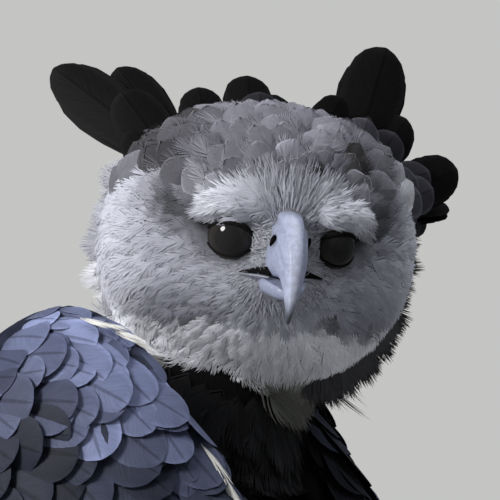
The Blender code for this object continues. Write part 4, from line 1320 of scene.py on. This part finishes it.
def wing_cover(skin, rng, side):
    """The rounded feathers over the shoulder and the front of a wing."""
    angles = (math.radians(-125), math.radians(150))
    root, _, along, _ = grown(
        skin, rng, f"wing_{SIDES[side]}", (0.01, 0.47), angles, 0.0090, 0.0112, 0.36, 0.006)
    keep = ~((view_aside(root, side) < -0.119) & (root[:, 2] > 0.608))
    root, along = root[keep], along[keep]
    size = (0.52 + 0.48 * smoothstep(0.03, 0.20, along)) * rng.uniform(0.80, 1.16, len(root))
    normal = skin.nearest(root)[1]
    flow = shoulder_flow(side, root) - UPRIGHT * 2.5 * smoothstep(0.35, 0.80, -normal[:, 1])[:, None]
    inner = smoothstep(-0.10, 0.45, -side * normal[:, 0]) * smoothstep(0.44, 0.50, root[:, 2])
    size = size * (1.0 - 0.30 * inner)
    # Painted shade: the far wing is painted 0.35 times as bright as the near one, and the shoulder darkens
    # lower down, partly painted shade and partly the wing's own darker slate.
    shade = (1.0 if side > 0 else 0.35) * (1.0 - 0.82 * smoothstep(0.604, 0.566, root[:, 2]))
    colour = blend(slate(root, rng) * shade[:, None], BLACK, inner)
    lift = (0.08 + 0.10 * smoothstep(0.04, 0.16, along)) * (1.0 - 0.85 * inner)
    lift = lift * (0.45 + 0.55 * smoothstep(0.612, 0.588, root[:, 2]))
    return blades(skin, root, flow, 0.036 * size, 0.0240 * size, colour, rng, ROUND_TIP, 12, 9,
                  lift=lift, curl=0.02, camber=0.14, yaw=0.20, roll=0.11)


def shoulder_whites(skin, rng):
    """The few white feathers along the top of the near shoulder and the one beside its lower edge."""
    aside = np.concatenate([np.linspace(-0.084, -0.058, 6), np.linspace(-0.029, -0.023, 4)])
    height = np.concatenate([np.linspace(0.6345, 0.6225, 6), np.linspace(0.566, 0.548, 4)])
    aside = aside + rng.normal(0.0, 0.0008, 10)
    height = height + rng.normal(0.0, 0.0012, 10)
    root = np.array(ONLOOKER) * 0.085 + np.outer(aside, ACROSS_VIEW) + np.outer(height, UPRIGHT)
    flow = np.repeat([ACROSS_VIEW - 0.5 * UPRIGHT, ACROSS_VIEW * 0.30 - UPRIGHT], (6, 4), axis=0)
    length = np.concatenate([rng.uniform(0.014, 0.020, 6), np.full(4, 0.024)])
    width = np.concatenate([rng.uniform(0.0032, 0.0046, 6), np.full(4, 0.0036)])
    colour = varied(WHITE, rng, 0.75, 0.95, 10)
    return plumes(skin, root, flow, length, width, colour, rng, 13, 0.0006, lift=0.15, frizz=0.10,
                  sink=-0.0040)


def slate(root, rng):
    """Blue-grey that drifts from one part of the wing to another and from feather to feather."""
    shade = np.clip(0.5 + 0.4 * ripple(root, 0.03, 3) + rng.normal(0.0, 0.22, len(root)), 0.0, 1.0)
    return blend(SLATE_DARK, SLATE, shade)


# Each tier of a wing: how many feathers, the (along, across) of the first and last root and of the first and
# last tip, the half width, the heights over the wing's face from root to tip and the colour.
WING_TIERS = {
    "primary": (8, ((0.66, -0.72), (0.68, 0.10)), ((1.10, -0.50), (1.01, 0.55)), 0.011,
                (-0.0050, 0.0, 0.0015, 0.0015, 0.0015), SLATE_DARK * 0.75),
    "secondary": (10, ((0.54, -0.74), (0.54, 0.74)), ((0.89, -0.66), (0.86, 0.76)), 0.0135,
                  (-0.0050, 0.0015, 0.0042, 0.0048, 0.0048), SLATE_DARK * 0.9),
    "greater_covert": (11, ((0.43, -0.76), (0.42, 0.76)), ((0.67, -0.74), (0.64, 0.76)), 0.0125,
                       (-0.0050, 0.0025, 0.0066, 0.0074, 0.0074), SLATE * 0.24),
    "median_covert": (12, ((0.39, -0.80), (0.39, 0.80)), ((0.56, -0.78), (0.55, 0.80)), 0.0125,
                      (-0.0050, 0.0040, 0.0085, 0.0092, 0.0092), SLATE * 0.32),
    "scapular": (6, ((0.38, 0.28), (0.36, 0.80)), ((0.60, 0.24), (0.58, 0.80)), 0.0135,
                 (-0.0040, 0.0050, 0.0095, 0.0108, 0.0110), SLATE * 0.28),
}
TIER_STEP = 0.0013


def wing_tier(skin, rng, side, name):
    """One row of a wing's vanes, each with its upper edge under the next one."""
    form = FORMS[f"wing_{SIDES[side]}"]
    count, starts, ends, half_width, heights, colour = WING_TIERS[name]
    share = np.linspace(0.0, 1.0, count)[:, None]
    s = stations_of(14)[None, :]
    start, end = (np.array(pair[0]) + (np.array(pair[1]) - pair[0]) * share for pair in (starts, ends))
    stretch = rng.uniform(-0.012, 0.012, (count, 1))
    along = start[:, :1] + (end[:, :1] - start[:, :1] + stretch) * s
    middle = start[:, 1:] + (end[:, 1:] - start[:, 1:]) * s
    tall = np.maximum(np.linalg.norm(form.at(form.up, along), axis=-1), LEAST_TALL)
    reach = (starts[1][1] - starts[0][1]) * (1.0 - s) + (ends[1][1] - ends[0][1]) * s
    slope = np.minimum(TIER_STEP * (count - 1) / (reach * tall), 0.28)
    half = read_off(LONG_TIP, s) * half_width
    level = np.interp(s, (0.0, 0.30, 0.70, 0.94, 1.0), heights)
    t = np.linspace(-1.0, 1.0, 7)
    edge = half[..., None] * t
    dome = 0.10 * half[..., None] * (1.0 - t * t)
    across = middle[..., None] + edge / tall[..., None]
    height = level[..., None] - slope[..., None] * edge + dome
    points = form.face(np.broadcast_to(along[..., None], across.shape), across, height)
    colours = varied(colour, rng, 0.85, 1.15, count)
    return Batch(points, skin.nearest(points[:, 0, 3])[2], colours, rng.uniform(0.0, 1.0, count))


# Each kind of coat: its barbs, roughness, specular share, relief and sheen, then its root shade, streak,
# variation, edge light and shaft dark. Bars follow where there are any: colour, count, share, wave, softness.
COATS = {
    "soft_feather": (14.0, 0.85, 0.15, 0.15, 0.12, (0.50, 0.30, 0.16, 0.0, 0.0)),
    "face_barbs": (6.0, 0.85, 0.15, 0.1, 0.12, (0.62, 0.14, 0.12, 0.0, 0.0)),
    "crown_feather": (26.0, 0.90, 0.10, 0.3, 0.12, (0.22, 0.60, 0.34, 0.50, 0.0)),
    "collar_barbs": (9.0, 0.60, 0.35, 0.2, 0.0, (0.6, 0.6, 0.4, 0.0, 0.0)),
    "crest_feather": (70.0, 0.62, 0.10, 0.4, 0.0, (0.6, 0.8, 0.4, 0.8, 0.3)),
    "slate_feather": (60.0, 0.62, 0.18, 0.50, 0.05, (0.22, 0.80, 0.45, 0.30, 0.40)),
    "flight_feather": (90.0, 0.55, 0.40, 0.45, 0.12, (0.7, 0.5, 0.2, 0.15, 0.5),
                       (BAR_GREY * 0.42, 5.0, 0.36, 0.5, 0.10)),
    "tail_feather": (160.0, 0.55, 0.40, 0.45, 0.12, (0.8, 0.4, 0.15, 0.10, 0.5),
                     (BAR_GREY, 4.0, 0.42, 0.25, 0.06)),
    "leg_feather": (26.0, 0.8, 0.2, 0.25, 0.12, (0.7, 0.3, 0.12, 0.0, 0.1), (BLACK, 2.0, 0.24, 0.25, 0.08)),
}
# The pieces of the coat: name, kind of coat, slot and what makes them. The second table is for each side.
COAT_PIECES = (
    ("face_tufts", "face_barbs", "face_feather", face_tufts, bill_bristles),
    ("brow_feathers", "face_barbs", "face_feather", brow_feathers),
    ("cheek_plumes", "face_barbs", "face_feather", cheek_plumes),
    ("disc_plumes", "face_barbs", "face_feather", disc_plumes),
    ("ruff_feathers", "face_barbs", "face_feather", ruff_feathers, ruff_locks),
    ("crown_feathers", "crown_feather", "face_feather", crown_feathers),
    ("crown_down", "face_barbs", "face_feather", crown_down),
    ("nape_feathers", "crest_feather", "back_feather", nape_feathers),
    ("crest_feathers", "crest_feather", "back_feather", crest_feathers, crest_scallops),
    ("neck_feathers", "collar_barbs", "collar_feather", neck_feathers),
    ("trunk_feathers", "soft_feather", "breast_feather", trunk_feathers),
    ("tail_coverts", "soft_feather", "tail_feather", tail_coverts),
    ("tail_feathers", "tail_feather", "tail_feather", tail_feathers),
    ("shoulder_whites", "soft_feather", "back_feather", shoulder_whites),
)
SIDE_PIECES = (
    ("thigh_feathers", "leg_feather", "leg_feather", (thigh_feathers,), ()),
    ("wing_covers", "slate_feather", "back_feather", (wing_cover,),
     ("greater_covert", "median_covert", "scapular")),
    ("flight_feathers", "flight_feather", "back_feather", (), ("primary", "secondary")),
)
COAT_SEED = 20


def make_coat(skin):
    """Every feather of the bird, in pieces that share a material."""
    rng = np.random.default_rng(COAT_SEED)
    for make_group in (barb_group, tone_group, bar_group):
        make_group()
    coats = {name: coat_material(name, *looks) for name, looks in COATS.items()}
    for name, coat, slot, *makers in COAT_PIECES:
        batches = []
        for make in makers:
            made = make(skin, rng)
            batches += made if isinstance(made, list) else [made]
        coat_piece(name, batches, coats[coat], slot)
    for side, word in SIDES.items():
        for name, coat, slot, makers, tiers in SIDE_PIECES:
            batches = [make(skin, rng, side) for make in makers]
            batches += [wing_tier(skin, rng, side, tier) for tier in tiers]
            coat_piece(f"{name}_{word}", batches, coats[coat], slot)


HEAD_REACH, CHIN_HEIGHT = 0.088, 0.58  # how far from its centre and how low the head's own markings go
# The skin is painted darker than its coat, as painted shade under the feathers.
SHADE_UNDER_COAT = 0.6  # how dark the skin is beside its coat


def dress_skin(skin):
    """Paints the skin with the coat's own markings, darker as painted shade under the coat, so that none
    shows through as a patch.
    """
    local = to_head(skin.points)
    on_head = (np.linalg.norm(local, axis=1) < HEAD_REACH) & (skin.points[:, 2] > CHIN_HEIGHT)
    colour = body_colour(skin.points, skin.normals)
    under = blend(head_colour(local), BLACK, smoothstep(-0.044, -0.054, local[:, 2]))
    colour = np.where(on_head[:, None], under, colour)
    wings = np.abs(skin.points[:, 0]) > 0.070
    wings &= skin.points[:, 2] > 0.335 - 0.67 * skin.points[:, 1]
    colour = np.where((wings & ~on_head)[:, None], SLATE_DARK, colour)
    paint(skin.piece, colour * SHADE_UNDER_COAT)
    hide = Material("skin", 0.9, 0.2)
    mottle = hide.span(hide.noise(220.0, 4.0), 0.3, 0.7, 0.7, 1.1)
    hide.relief(hide.noise(500.0, 3.0), 0.5, 0.001)
    hide.set(Base_Color=hide.toned(hide.stored("plumage", "Color"), mottle))
    finish_piece(skin.piece, hide.made, "face_feather", *FORMS)


GAZE = math.radians(26.0)  # how far each eye looks out from straight ahead


def gaze_axes(side):
    """An eye's own axes as columns, in the head's frame: to its side, back along its sight, and up."""
    return np.array(Matrix.Rotation(GAZE * side, 3, "Z"))


def eyeball(side):
    """A clear round eye, with how far each point is from its sight for the shader."""
    points, faces = closed_loft(ball(64, 47, math.pi / 48.0)[..., [0, 2, 1]])
    place = from_head(EYE_PLACE * (side, 1.0, 1.0) + (points * EYE_RADIUS) @ gaze_axes(side).T)
    piece = mesh_of(f"eyeball_{SIDES[side]}", place, faces)
    store(piece.data, "gaze", np.degrees(np.arccos(np.clip(-points[:, 1], -1.0, 1.0))))
    return piece


def eye_material():
    """Almost black under a clear wet surface: a wide pupil, a deep brown iris and its darker rim."""
    eye = Material("eye", 0.07, 0.20, Coat_Weight=0.08, Coat_Roughness=0.03)
    away = eye.stored("gaze")
    iris = eye.mix(eye.noise(900.0, 4.0), opaque(35, 34, 33), opaque(47, 44, 42))
    iris = eye.mix(eye.span(away, 46.0, 60.0), iris, opaque(22, 21, 21))
    return eye.set(Base_Color=eye.mix(eye.span(away, 28.0, 32.0, 1.0, 0.0), iris, opaque(32, 32, 32)))


def eyelids(side):
    """The bare rims round an eye, pinched at both corners and thicker above."""
    angle = turns(96)
    across = 0.0124 * np.cos(angle)
    rise = np.sign(np.sin(angle)) * np.abs(np.sin(angle)) ** 1.30
    height = np.where(rise > 0, 0.0068, 0.0082) * rise
    front = -np.sqrt(np.maximum(EYE_RADIUS**2 - across**2 - height**2, 1e-8)) - 0.0003
    middle = xyz(across, np.maximum(front, -0.0121), height)
    along = unit(np.roll(middle, -1, axis=0) - np.roll(middle, 1, axis=0))
    outward = unit(middle)
    side_way = unit(np.cross(along, outward))
    thick = np.where(rise > 0, 0.0009, 0.0006)[:, None]
    rings = [middle + outward * math.cos(turn) * thick * 0.8 + side_way * math.sin(turn) * thick
             for turn in turns(10)]
    points = np.stack(rings, axis=1)
    points = np.concatenate([points, points[:1]])
    place = from_head(EYE_PLACE * (side, 1.0, 1.0) + points.reshape(-1, 3) @ gaze_axes(side).T)
    return mesh_of(f"eyelids_{SIDES[side]}", place, grid_faces(*points.shape[:2], wrap=True))


def lid_material():
    lid = Material("eyelid", 0.75, 0.08)
    wrinkle = lid.noise(1400.0, 4.0)
    lid.relief(wrinkle, 0.5, 0.0003)
    return lid.set(Base_Color=lid.mix(wrinkle, opaque(9, 9, 9), opaque(24, 24, 25)))


def make_eyes():
    wet, rim = eye_material(), lid_material()
    for side, word in SIDES.items():
        finish_piece(eyeball(side), wet, "eye", f"eye_{word}")
        finish_piece(eyelids(side), rim, "face_feather")


# Half of the upper bill's outline in a section, as the share of its half width and how far down.
BILL_OUTLINE = ((0.0, 0.0), (1.0, 0.06), (0.80, 0.30), (1.0, 0.58), (0.92, 0.84), (0.62, 1.0))


def bill_rings(rows, count):
    """Sections of the upper bill: a narrow ridge above, full cheeks and a narrower cutting edge."""
    outline = smooth_rows(BILL_OUTLINE, 15)
    rings = []
    for a, b, c, d, width, ridge in smooth_rows(rows, count):
        out, down = outline[:, 0].copy(), outline[:, 1]
        out[down < 0.18] *= ridge
        top, bottom = np.array((0.0, a, b)), np.array((0.0, c, d))
        right = top + (bottom - top) * down[:, None] + xyz(width * out, 0.0, 0.0)
        left = right[1:][::-1] * (-1.0, 1.0, 1.0)
        rings.append(np.concatenate([right, left]))
    return np.stack(rings)


def bill_upper():
    """The hooked upper bill. Each row: culmen (y, z), cutting edge (y, z), half width, ridge."""
    rows = [
        (-0.0440, 0.0240, -0.0400, -0.0060, 0.0098, 0.60),
        (-0.0530, 0.0230, -0.0480, -0.0060, 0.0094, 0.58),
        (-0.0625, 0.0195, -0.0570, -0.0055, 0.0084, 0.55),
        (-0.0710, 0.0120, -0.0640, -0.0050, 0.0070, 0.52),
        (-0.0765, 0.0030, -0.0690, -0.0070, 0.0053, 0.52),
        (-0.0785, -0.0070, -0.0715, -0.0120, 0.0036, 0.52),
        (-0.0775, -0.0160, -0.0730, -0.0175, 0.0021, 0.55),
        (-0.0748, -0.0235, -0.0738, -0.0236, 0.0007, 0.60),
    ]
    return closed_loft(bill_rings(rows, 44))


def bill_lower():
    """The short lower bill. Each row: y, top, half width and depth."""
    rows = [
        (-0.0400, -0.0068, 0.0108, 0.0096),
        (-0.0520, -0.0070, 0.0102, 0.0086),
        (-0.0620, -0.0075, 0.0084, 0.0076),
        (-0.0680, -0.0084, 0.0058, 0.0060),
        (-0.0705, -0.0096, 0.0034, 0.0036),
    ]
    rings = []
    angle = turns(32)
    for y, top, width, depth in smooth_rows(rows, 20):
        fall = np.abs(np.sin(angle)) ** 0.65
        z = np.where(np.sin(angle) < 0.0, top - depth * fall, top)
        across = np.sign(np.cos(angle)) * np.abs(np.cos(angle)) ** 0.75
        rings.append(xyz(width * across, y, z))
    return closed_loft(np.stack(rings))


def bill_colour(local):
    """Pale blue-grey horn with a painted highlight along its ridge, greyer over the soft skin at its root,
    dark towards the tip, with painted shade round the nostrils.
    """
    x, y, z = local.T
    return marked(linear(144, 151, 175), (
        # A painted highlight along the ridge.
        (linear(176, 182, 203), smoothstep(0.0050, 0.0, np.abs(x)) * smoothstep(-0.052, -0.060, y)),
        (linear(124, 130, 144), smoothstep(-0.0585, -0.0500, y) * smoothstep(0.0, 0.006, z)),
        (linear(62, 66, 72), smoothstep(-0.010, -0.022, z) * smoothstep(-0.070, -0.074, y)),
        # Painted shade round the nostrils.
        (linear(34, 34, 37), 0.75 * spot(y, z, -0.0585, 0.0105, 0.0026, 0.0032)),
    ))


def bill_material():
    horn = Material("bill", 0.40, 0.36, Coat_Weight=0.06)
    streaks, fine = horn.noise(420.0, 5.0), horn.noise(1600.0, 4.0)
    broad = horn.span(streaks, 0.25, 0.75, 0.82, 1.10)
    tone = horn.math("MULTIPLY", broad, horn.span(fine, 0.2, 0.8, 0.93, 1.05))
    horn.relief(streaks, 0.25, 0.0003)
    return horn.set(Base_Color=horn.toned(horn.stored("plumage", "Color"), tone),
                    Roughness=horn.span(streaks, 0.2, 0.8, 0.34, 0.50))


def make_bill():
    horn = bill_material()
    # The nostrils and the mouth's opening are dark pieces of painted shadow.
    nostril_shadow, mouth_shadow = shadow_material("nostril_shadow"), shadow_material("mouth_shadow")
    for name, (points, faces) in (("upper", bill_upper()), ("lower", bill_lower())):
        piece = mesh_of(f"bill_{name}_horn", from_head(points), faces)
        paint(piece, bill_colour(points) * (1.0 if name == "upper" else 0.92))
        finish_piece(piece, horn, "bill", f"bill_{name}")
    for side, word in SIDES.items():
        finish_piece(mesh_of(f"nostril_{word}", *nostril_slit(side)), nostril_shadow, "bill")
        corner = mesh_of(f"gape_{word}", *along_mouth(side, GAPE, 12))
        paint(corner, np.tile(linear(120, 124, 134), (len(corner.data.vertices), 1)))
        finish_piece(corner, horn, "bill")
        finish_piece(mesh_of(f"mouth_line_{word}", *along_mouth(side, MOUTH, 10)), mouth_shadow, "bill")


def nostril_slit(side):
    lean = Matrix.Rotation(math.radians(-50.0), 3, "X")
    return ellipsoid(np.array((side * 0.0080, -0.0585, 0.0105)), np.array((0.0013, 0.0040, 0.0009)), lean)


# Slim tubes beside the mouth: rows of (x, y, z, half height, half depth) in the head's frame. The gape is the
# thin pale rim from the bill to the mouth's corner, and the mouth the dark wedge of painted shadow in the
# opening, which narrows to it.
GAPE = [
    (0.0070, -0.0572, -0.0064, 0.0006, 0.0007),
    (0.0120, -0.0532, -0.0065, 0.0006, 0.0007),
    (0.0160, -0.0502, -0.0068, 0.0005, 0.0006),
    (0.0190, -0.0478, -0.0071, 0.0003, 0.0004),
]
MOUTH = [
    (0.0060, -0.0550, -0.0036, 0.0021, 0.0005),
    (0.0105, -0.0520, -0.0042, 0.0017, 0.0005),
    (0.0150, -0.0494, -0.0052, 0.0010, 0.0005),
    (0.0190, -0.0472, -0.0062, 0.0003, 0.0003),
]


def along_mouth(side, rows, sides):
    """A slim tube beside the mouth."""
    rows = smooth_rows(rows, 16) * (side, 1, 1, 1, 1)
    out = unit(np.array((side * 0.6, -0.8, 0.0)))
    deep, tall = np.outer(rows[:, 4], out), np.outer(rows[:, 3], UPRIGHT)
    points, faces = closed_loft(circles(rows[:, :3], deep, tall, sides))
    return from_head(points), faces


# Near black, a stand-in for painted shadow inside the nostrils and the mouth's opening.
def shadow_material(name):
    dark = Material(name, 0.9, 0.05)
    deep, paler_shadow = (0.0025, 0.0024, 0.0026, 1.0), (0.010, 0.009, 0.009, 1.0)
    return dark.set(Base_Color=dark.mix(dark.noise(1200.0, 3.0), deep, paler_shadow))


# Each toe: its heading in degrees outwards from straight ahead, its length, thickness and talon's reach.
TOES = {
    "inner": (-34.0, 0.060, 0.0125, 0.050),
    "middle": (4.0, 0.088, 0.0125, 0.044),
    "outer": (44.0, 0.068, 0.0110, 0.036),
    "hind": (172.0, 0.050, 0.0135, 0.062),
}
TOE_SHAPE = (
    (0.0, 1.0, 0.016), (0.30, 0.98, 0.010), (0.52, 0.86, 0.009), (0.75, 0.95, 0.009), (0.93, 0.80, 0.009),
    (1.0, 0.45, 0.009),
)
SHANK_ROWS = (
    (LEG_X, 0.022, 0.124, 0.0155, 0.0165), (LEG_X, 0.016, 0.090, 0.0145, 0.0155),
    (LEG_X, 0.006, 0.055, 0.0138, 0.0148), (LEG_X, 0.000, 0.020, 0.0155, 0.0165),
)
FOOT_Y = -0.002
CLAW_FIRST_BEND = math.radians(-38.0)
CLAW_BEND = math.radians(118.0)
CLAW_CLEAR = 0.0006


def toe_frame(toe, side):
    """Where a toe starts, the way it points and the way across it."""
    heading = math.radians(TOES[toe][0])
    way = np.array((side * math.sin(heading), -math.cos(heading), 0.0))
    return np.array((side * LEG_X, FOOT_Y, 0.0)), way, np.array((-way[1], way[0], 0.0))


def circles(centres, across, up, sides):
    """Rings of points round a line of centres."""
    angle = turns(sides)[:, None]
    return centres[:, None] + across[:, None] * np.cos(angle) + up[:, None] * np.sin(angle)


def toe_shape(toe, side):
    """A toe with the folds of its scutes across its back and swollen pads under its joints."""
    start, way, across = toe_frame(toe, side)
    _, length, thick, _ = TOES[toe]
    share, swell, lift = smooth_rows(TOE_SHAPE, 140).T
    folds = np.abs(np.sin(share * length / 0.0046 * math.pi)) ** 0.5
    centres = start + np.outer(share * length, way) + np.outer(lift, UPRIGHT)
    rings = circles(centres, np.outer(swell * thick, across), np.outer(swell * thick * 0.92, UPRIGHT), 40)
    above = np.clip((rings[:, :, 2] - centres[:, None, 2]) / (swell * thick)[:, None], 0.0, 1.0)
    rings[:, :, 2] -= 0.0009 * (1.0 - folds)[:, None] * above
    rings[:, :, 2] = np.maximum(rings[:, :, 2], 0.0)
    return closed_loft(rings)


def shank_shape(side):
    rows = smooth_rows(SHANK_ROWS, 90) * (side, 1, 1, 1, 1)
    along = unit(np.gradient(rows[:, :3], axis=0))
    level = np.tile((1.0, 0.0, 0.0), (len(rows), 1))
    up = unit(np.cross(along, level))
    folds = np.abs(np.sin(np.linspace(0.0, 1.0, 90) * 16.0 * math.pi)) ** 0.5
    rings = circles(rows[:, :3], level * rows[:, 3:4], up * rows[:, 4:5], 48)
    front = np.clip(-(rings - rows[:, None, :3])[:, :, 1:2] / 0.015, 0.0, 1.0)
    rings = rings + front * (0.0009 * (1.0 - folds))[:, None, None] * (0.0, 1.0, 0.0)
    return closed_loft(rings)


def scaly_material():
    """Yellow skin in small rounded scales, darker in the creases."""
    skin = Material("scaly_skin", 0.55, 0.45)
    cells, tiles = skin.add("TexVoronoi", feature="DISTANCE_TO_EDGE"), skin.add("TexVoronoi")
    for node in (cells, tiles):
        skin.give(node, Vector=skin.place(), Scale=330.0)
    edge = skin.span(cells.outputs["Distance"], 0.02, 0.16)
    yellow = skin.mix(skin.noise(45.0, 3.0), opaque(206, 164, 62), opaque(228, 196, 104))
    yellow = skin.toned(yellow, skin.span(tiles.outputs["Color"], 0.0, 1.0, 0.86, 1.08))
    skin.relief(edge, 0.7, 0.0006)
    return skin.set(Base_Color=skin.mix(edge, opaque(128, 92, 38), yellow),
                    Roughness=skin.span(edge, 0.0, 1.0, 0.75, 0.48))


def make_feet():
    """A leg's bare scaly part and its foot, melted into one skin."""
    material = scaly_material()
    for side, word in SIDES.items():
        start = np.array((side * LEG_X, FOOT_Y + 0.001, 0.019))
        pieces = [toe_shape(toe, side) for toe in TOES]
        pieces += [shank_shape(side), closed_loft(start + ball(32, 20, 0.08) * (0.0172, 0.0182, 0.0187))]
        foot = fused(mesh_of(f"scaly_foot_{word}", *joined(pieces)), 0.00125, 2)
        finish_piece(foot, material, "scaly_skin", f"foot_{word}", f"shank_{word}")


def claw_shape(toe, side):
    """A long curved talon, thick at its root, that comes down to just above the floor."""
    start, way, across = toe_frame(toe, side)
    _, length, thick, reach = TOES[toe]
    share = np.linspace(0.0, 1.0, 30)
    bend = CLAW_FIRST_BEND + CLAW_BEND * share
    radius = reach * 0.56
    forward = radius * (np.sin(bend) - math.sin(CLAW_FIRST_BEND))
    rise = radius * (np.cos(bend) - math.cos(CLAW_FIRST_BEND)) + 0.0105
    size = thick * 0.62 * (1.0 - share) ** 0.75 + 0.0006
    centres = start + way * (length * 0.93) + np.outer(forward, way) + np.outer(rise, UPRIGHT)
    up = np.outer(np.sin(bend), way) + np.outer(np.cos(bend), UPRIGHT)
    rings = circles(centres, np.outer(size * 0.85, across), up * size[:, None], 28)
    rings[:, :, 2] += (CLAW_CLEAR - rings[:, :, 2].min()) * share[:, None]
    return closed_loft(rings)


def talon_material():
    talon = Material("talon", 0.22, 0.5)
    streaks = talon.noise(300.0, 5.0)
    return talon.set(Base_Color=talon.mix(streaks, opaque(17, 16, 17), opaque(52, 49, 48)),
                     Roughness=talon.span(streaks, 0.3, 0.7, 0.16, 0.38))


def make_claws():
    horn = talon_material()
    for side, word in SIDES.items():
        for toe in TOES:
            piece = mesh_of(f"talon_{toe}_{word}", *claw_shape(toe, side))
            finish_piece(piece, horn, "talon", f"claw_{toe}_{word}")


PAGE = linear(214, 214, 212)
ROOM = linear(196, 197, 195)
FLOOR_RADIUS = 1.2
ROOM_RADIUS = 20.0
CORNERS, RINGS = 96, 24  # of the floor
# Each light: name, place from the middle of the bird, size, watts and colour.
LIGHTS = (
    ("key", (1.86, -1.16, 1.25), 0.8, 66.0, (1.0, 0.985, 0.965)),
    ("fill", (1.8, 2.2, 0.3), 2.2, 1.2, (0.96, 1.0, 0.86)),
    ("bounce", (1.5, -1.5, -0.25), 0.6, 17.0, (1.0, 0.985, 0.965)),
    ("top", (-0.3, 0.75, 2.2), 1.6, 44.0, (0.97, 0.98, 1.0)),
    ("back", (-2.2, -0.9, 0.5), 1.6, 9.0, (0.97, 0.98, 1.0)),
)


def studio_material(name, fades):
    """The pale floor. Away from the bird it turns into the room's even tone, which only the camera sees."""
    floor = Material(name, 0.95, 0.0, Emission_Strength=1.0)
    away = floor.give(floor.add("VectorMath", operation="LENGTH"), Vector=floor.place()).outputs["Value"]
    far = floor.span(away, FLOOR_RADIUS, 2.0 * FLOOR_RADIUS) if fades else 0.0
    black = (0.0, 0.0, 0.0, 1.0)
    return floor.set(Base_Color=floor.mix(far, (*PAGE, 1.0), black),
                     Emission_Color=floor.mix(far, black, (*ROOM, 1.0)))


def disc(radius):
    """The corners of a round floor."""
    angle = turns(CORNERS)
    return radius * xyz(np.cos(angle), np.sin(angle), 0.0)


def soft_light(name, place, size, watts, colour):
    lamp = bpy.data.lights.new(name, "AREA")
    lamp.shape = "DISK"
    lamp.size = size
    lamp.energy = watts
    lamp.color = colour
    made = bpy.data.objects.new(name, lamp)
    bpy.context.scene.collection.objects.link(made)
    target = HEAD_CENTRE + Vector(SHIFT) - Vector((0.0, 0.0, 0.15))
    made.location = target + Vector(place)
    made.rotation_euler = (made.location - target).to_track_quat("Z", "Y").to_euler()
    return made


def make_studio():
    """A round pale floor in an even pale room, and soft lights."""
    near = mesh_of("studio_floor", disc(FLOOR_RADIUS), np.arange(CORNERS)[None])
    radii = FLOOR_RADIUS * np.geomspace(1.0, ROOM_RADIUS / FLOOR_RADIUS, RINGS)
    rings = np.concatenate([disc(radius) for radius in radii])
    far = mesh_of("studio_far_floor", rings, grid_faces(RINGS, CORNERS, wrap=True))
    room = mesh_of("studio_room", *closed_loft(ball(32, 20, 0.08) * ROOM_RADIUS))
    for piece in (near, far, room):
        piece.data.materials.append(studio_material(piece.name, piece != near))
        piece.visible_glossy = False
        piece.visible_diffuse = piece == near
    room.visible_shadow = False
    for values in LIGHTS:
        lamp = soft_light(*values)
        lamp.visible_glossy = values[0] == "key"
    world = bpy.data.worlds.new("studio_air")
    world.use_nodes = True
    air = world.node_tree.nodes["Background"].inputs
    air["Color"].default_value = (0.80, 0.84, 0.90, 1.0)
    air["Strength"].default_value = 0.12
    bpy.context.scene.world = world
    bpy.context.scene.view_settings.view_transform = "Standard"


# The photograph's framing: how wide it is at the head, and how far its middle is from the head's centre.
PICTURE_WIDTH = 500.0 / 2200.0
PICTURE_ASIDE = -0.00545
PICTURE_RISE = -0.0023
CAMERA_AWAY = 2.5
SENSOR = 36.0  # millimetres


def make_camera():
    camera = bpy.data.objects.new("camera", bpy.data.cameras.new("camera"))
    bpy.context.scene.collection.objects.link(camera)
    aside = Vector(ACROSS_VIEW).normalized()
    target = HEAD_CENTRE + Vector(SHIFT) + aside * PICTURE_ASIDE + Vector((0.0, 0.0, PICTURE_RISE))
    camera.location = target + ONLOOKER.normalized() * CAMERA_AWAY
    camera.rotation_euler = ONLOOKER.to_track_quat("Z", "Y").to_euler()
    camera.data.sensor_width = SENSOR
    camera.data.lens = SENSOR * CAMERA_AWAY / PICTURE_WIDTH
    camera.data.clip_end = 100.0
    bpy.context.scene.camera = camera


def main():
    skin = Skin()
    dress_skin(skin)
    make_coat(skin)
    make_eyes()
    make_bill()
    make_feet()
    make_claws()
    make_studio()
    make_camera()
    bpy.context.view_layer.update()


main()
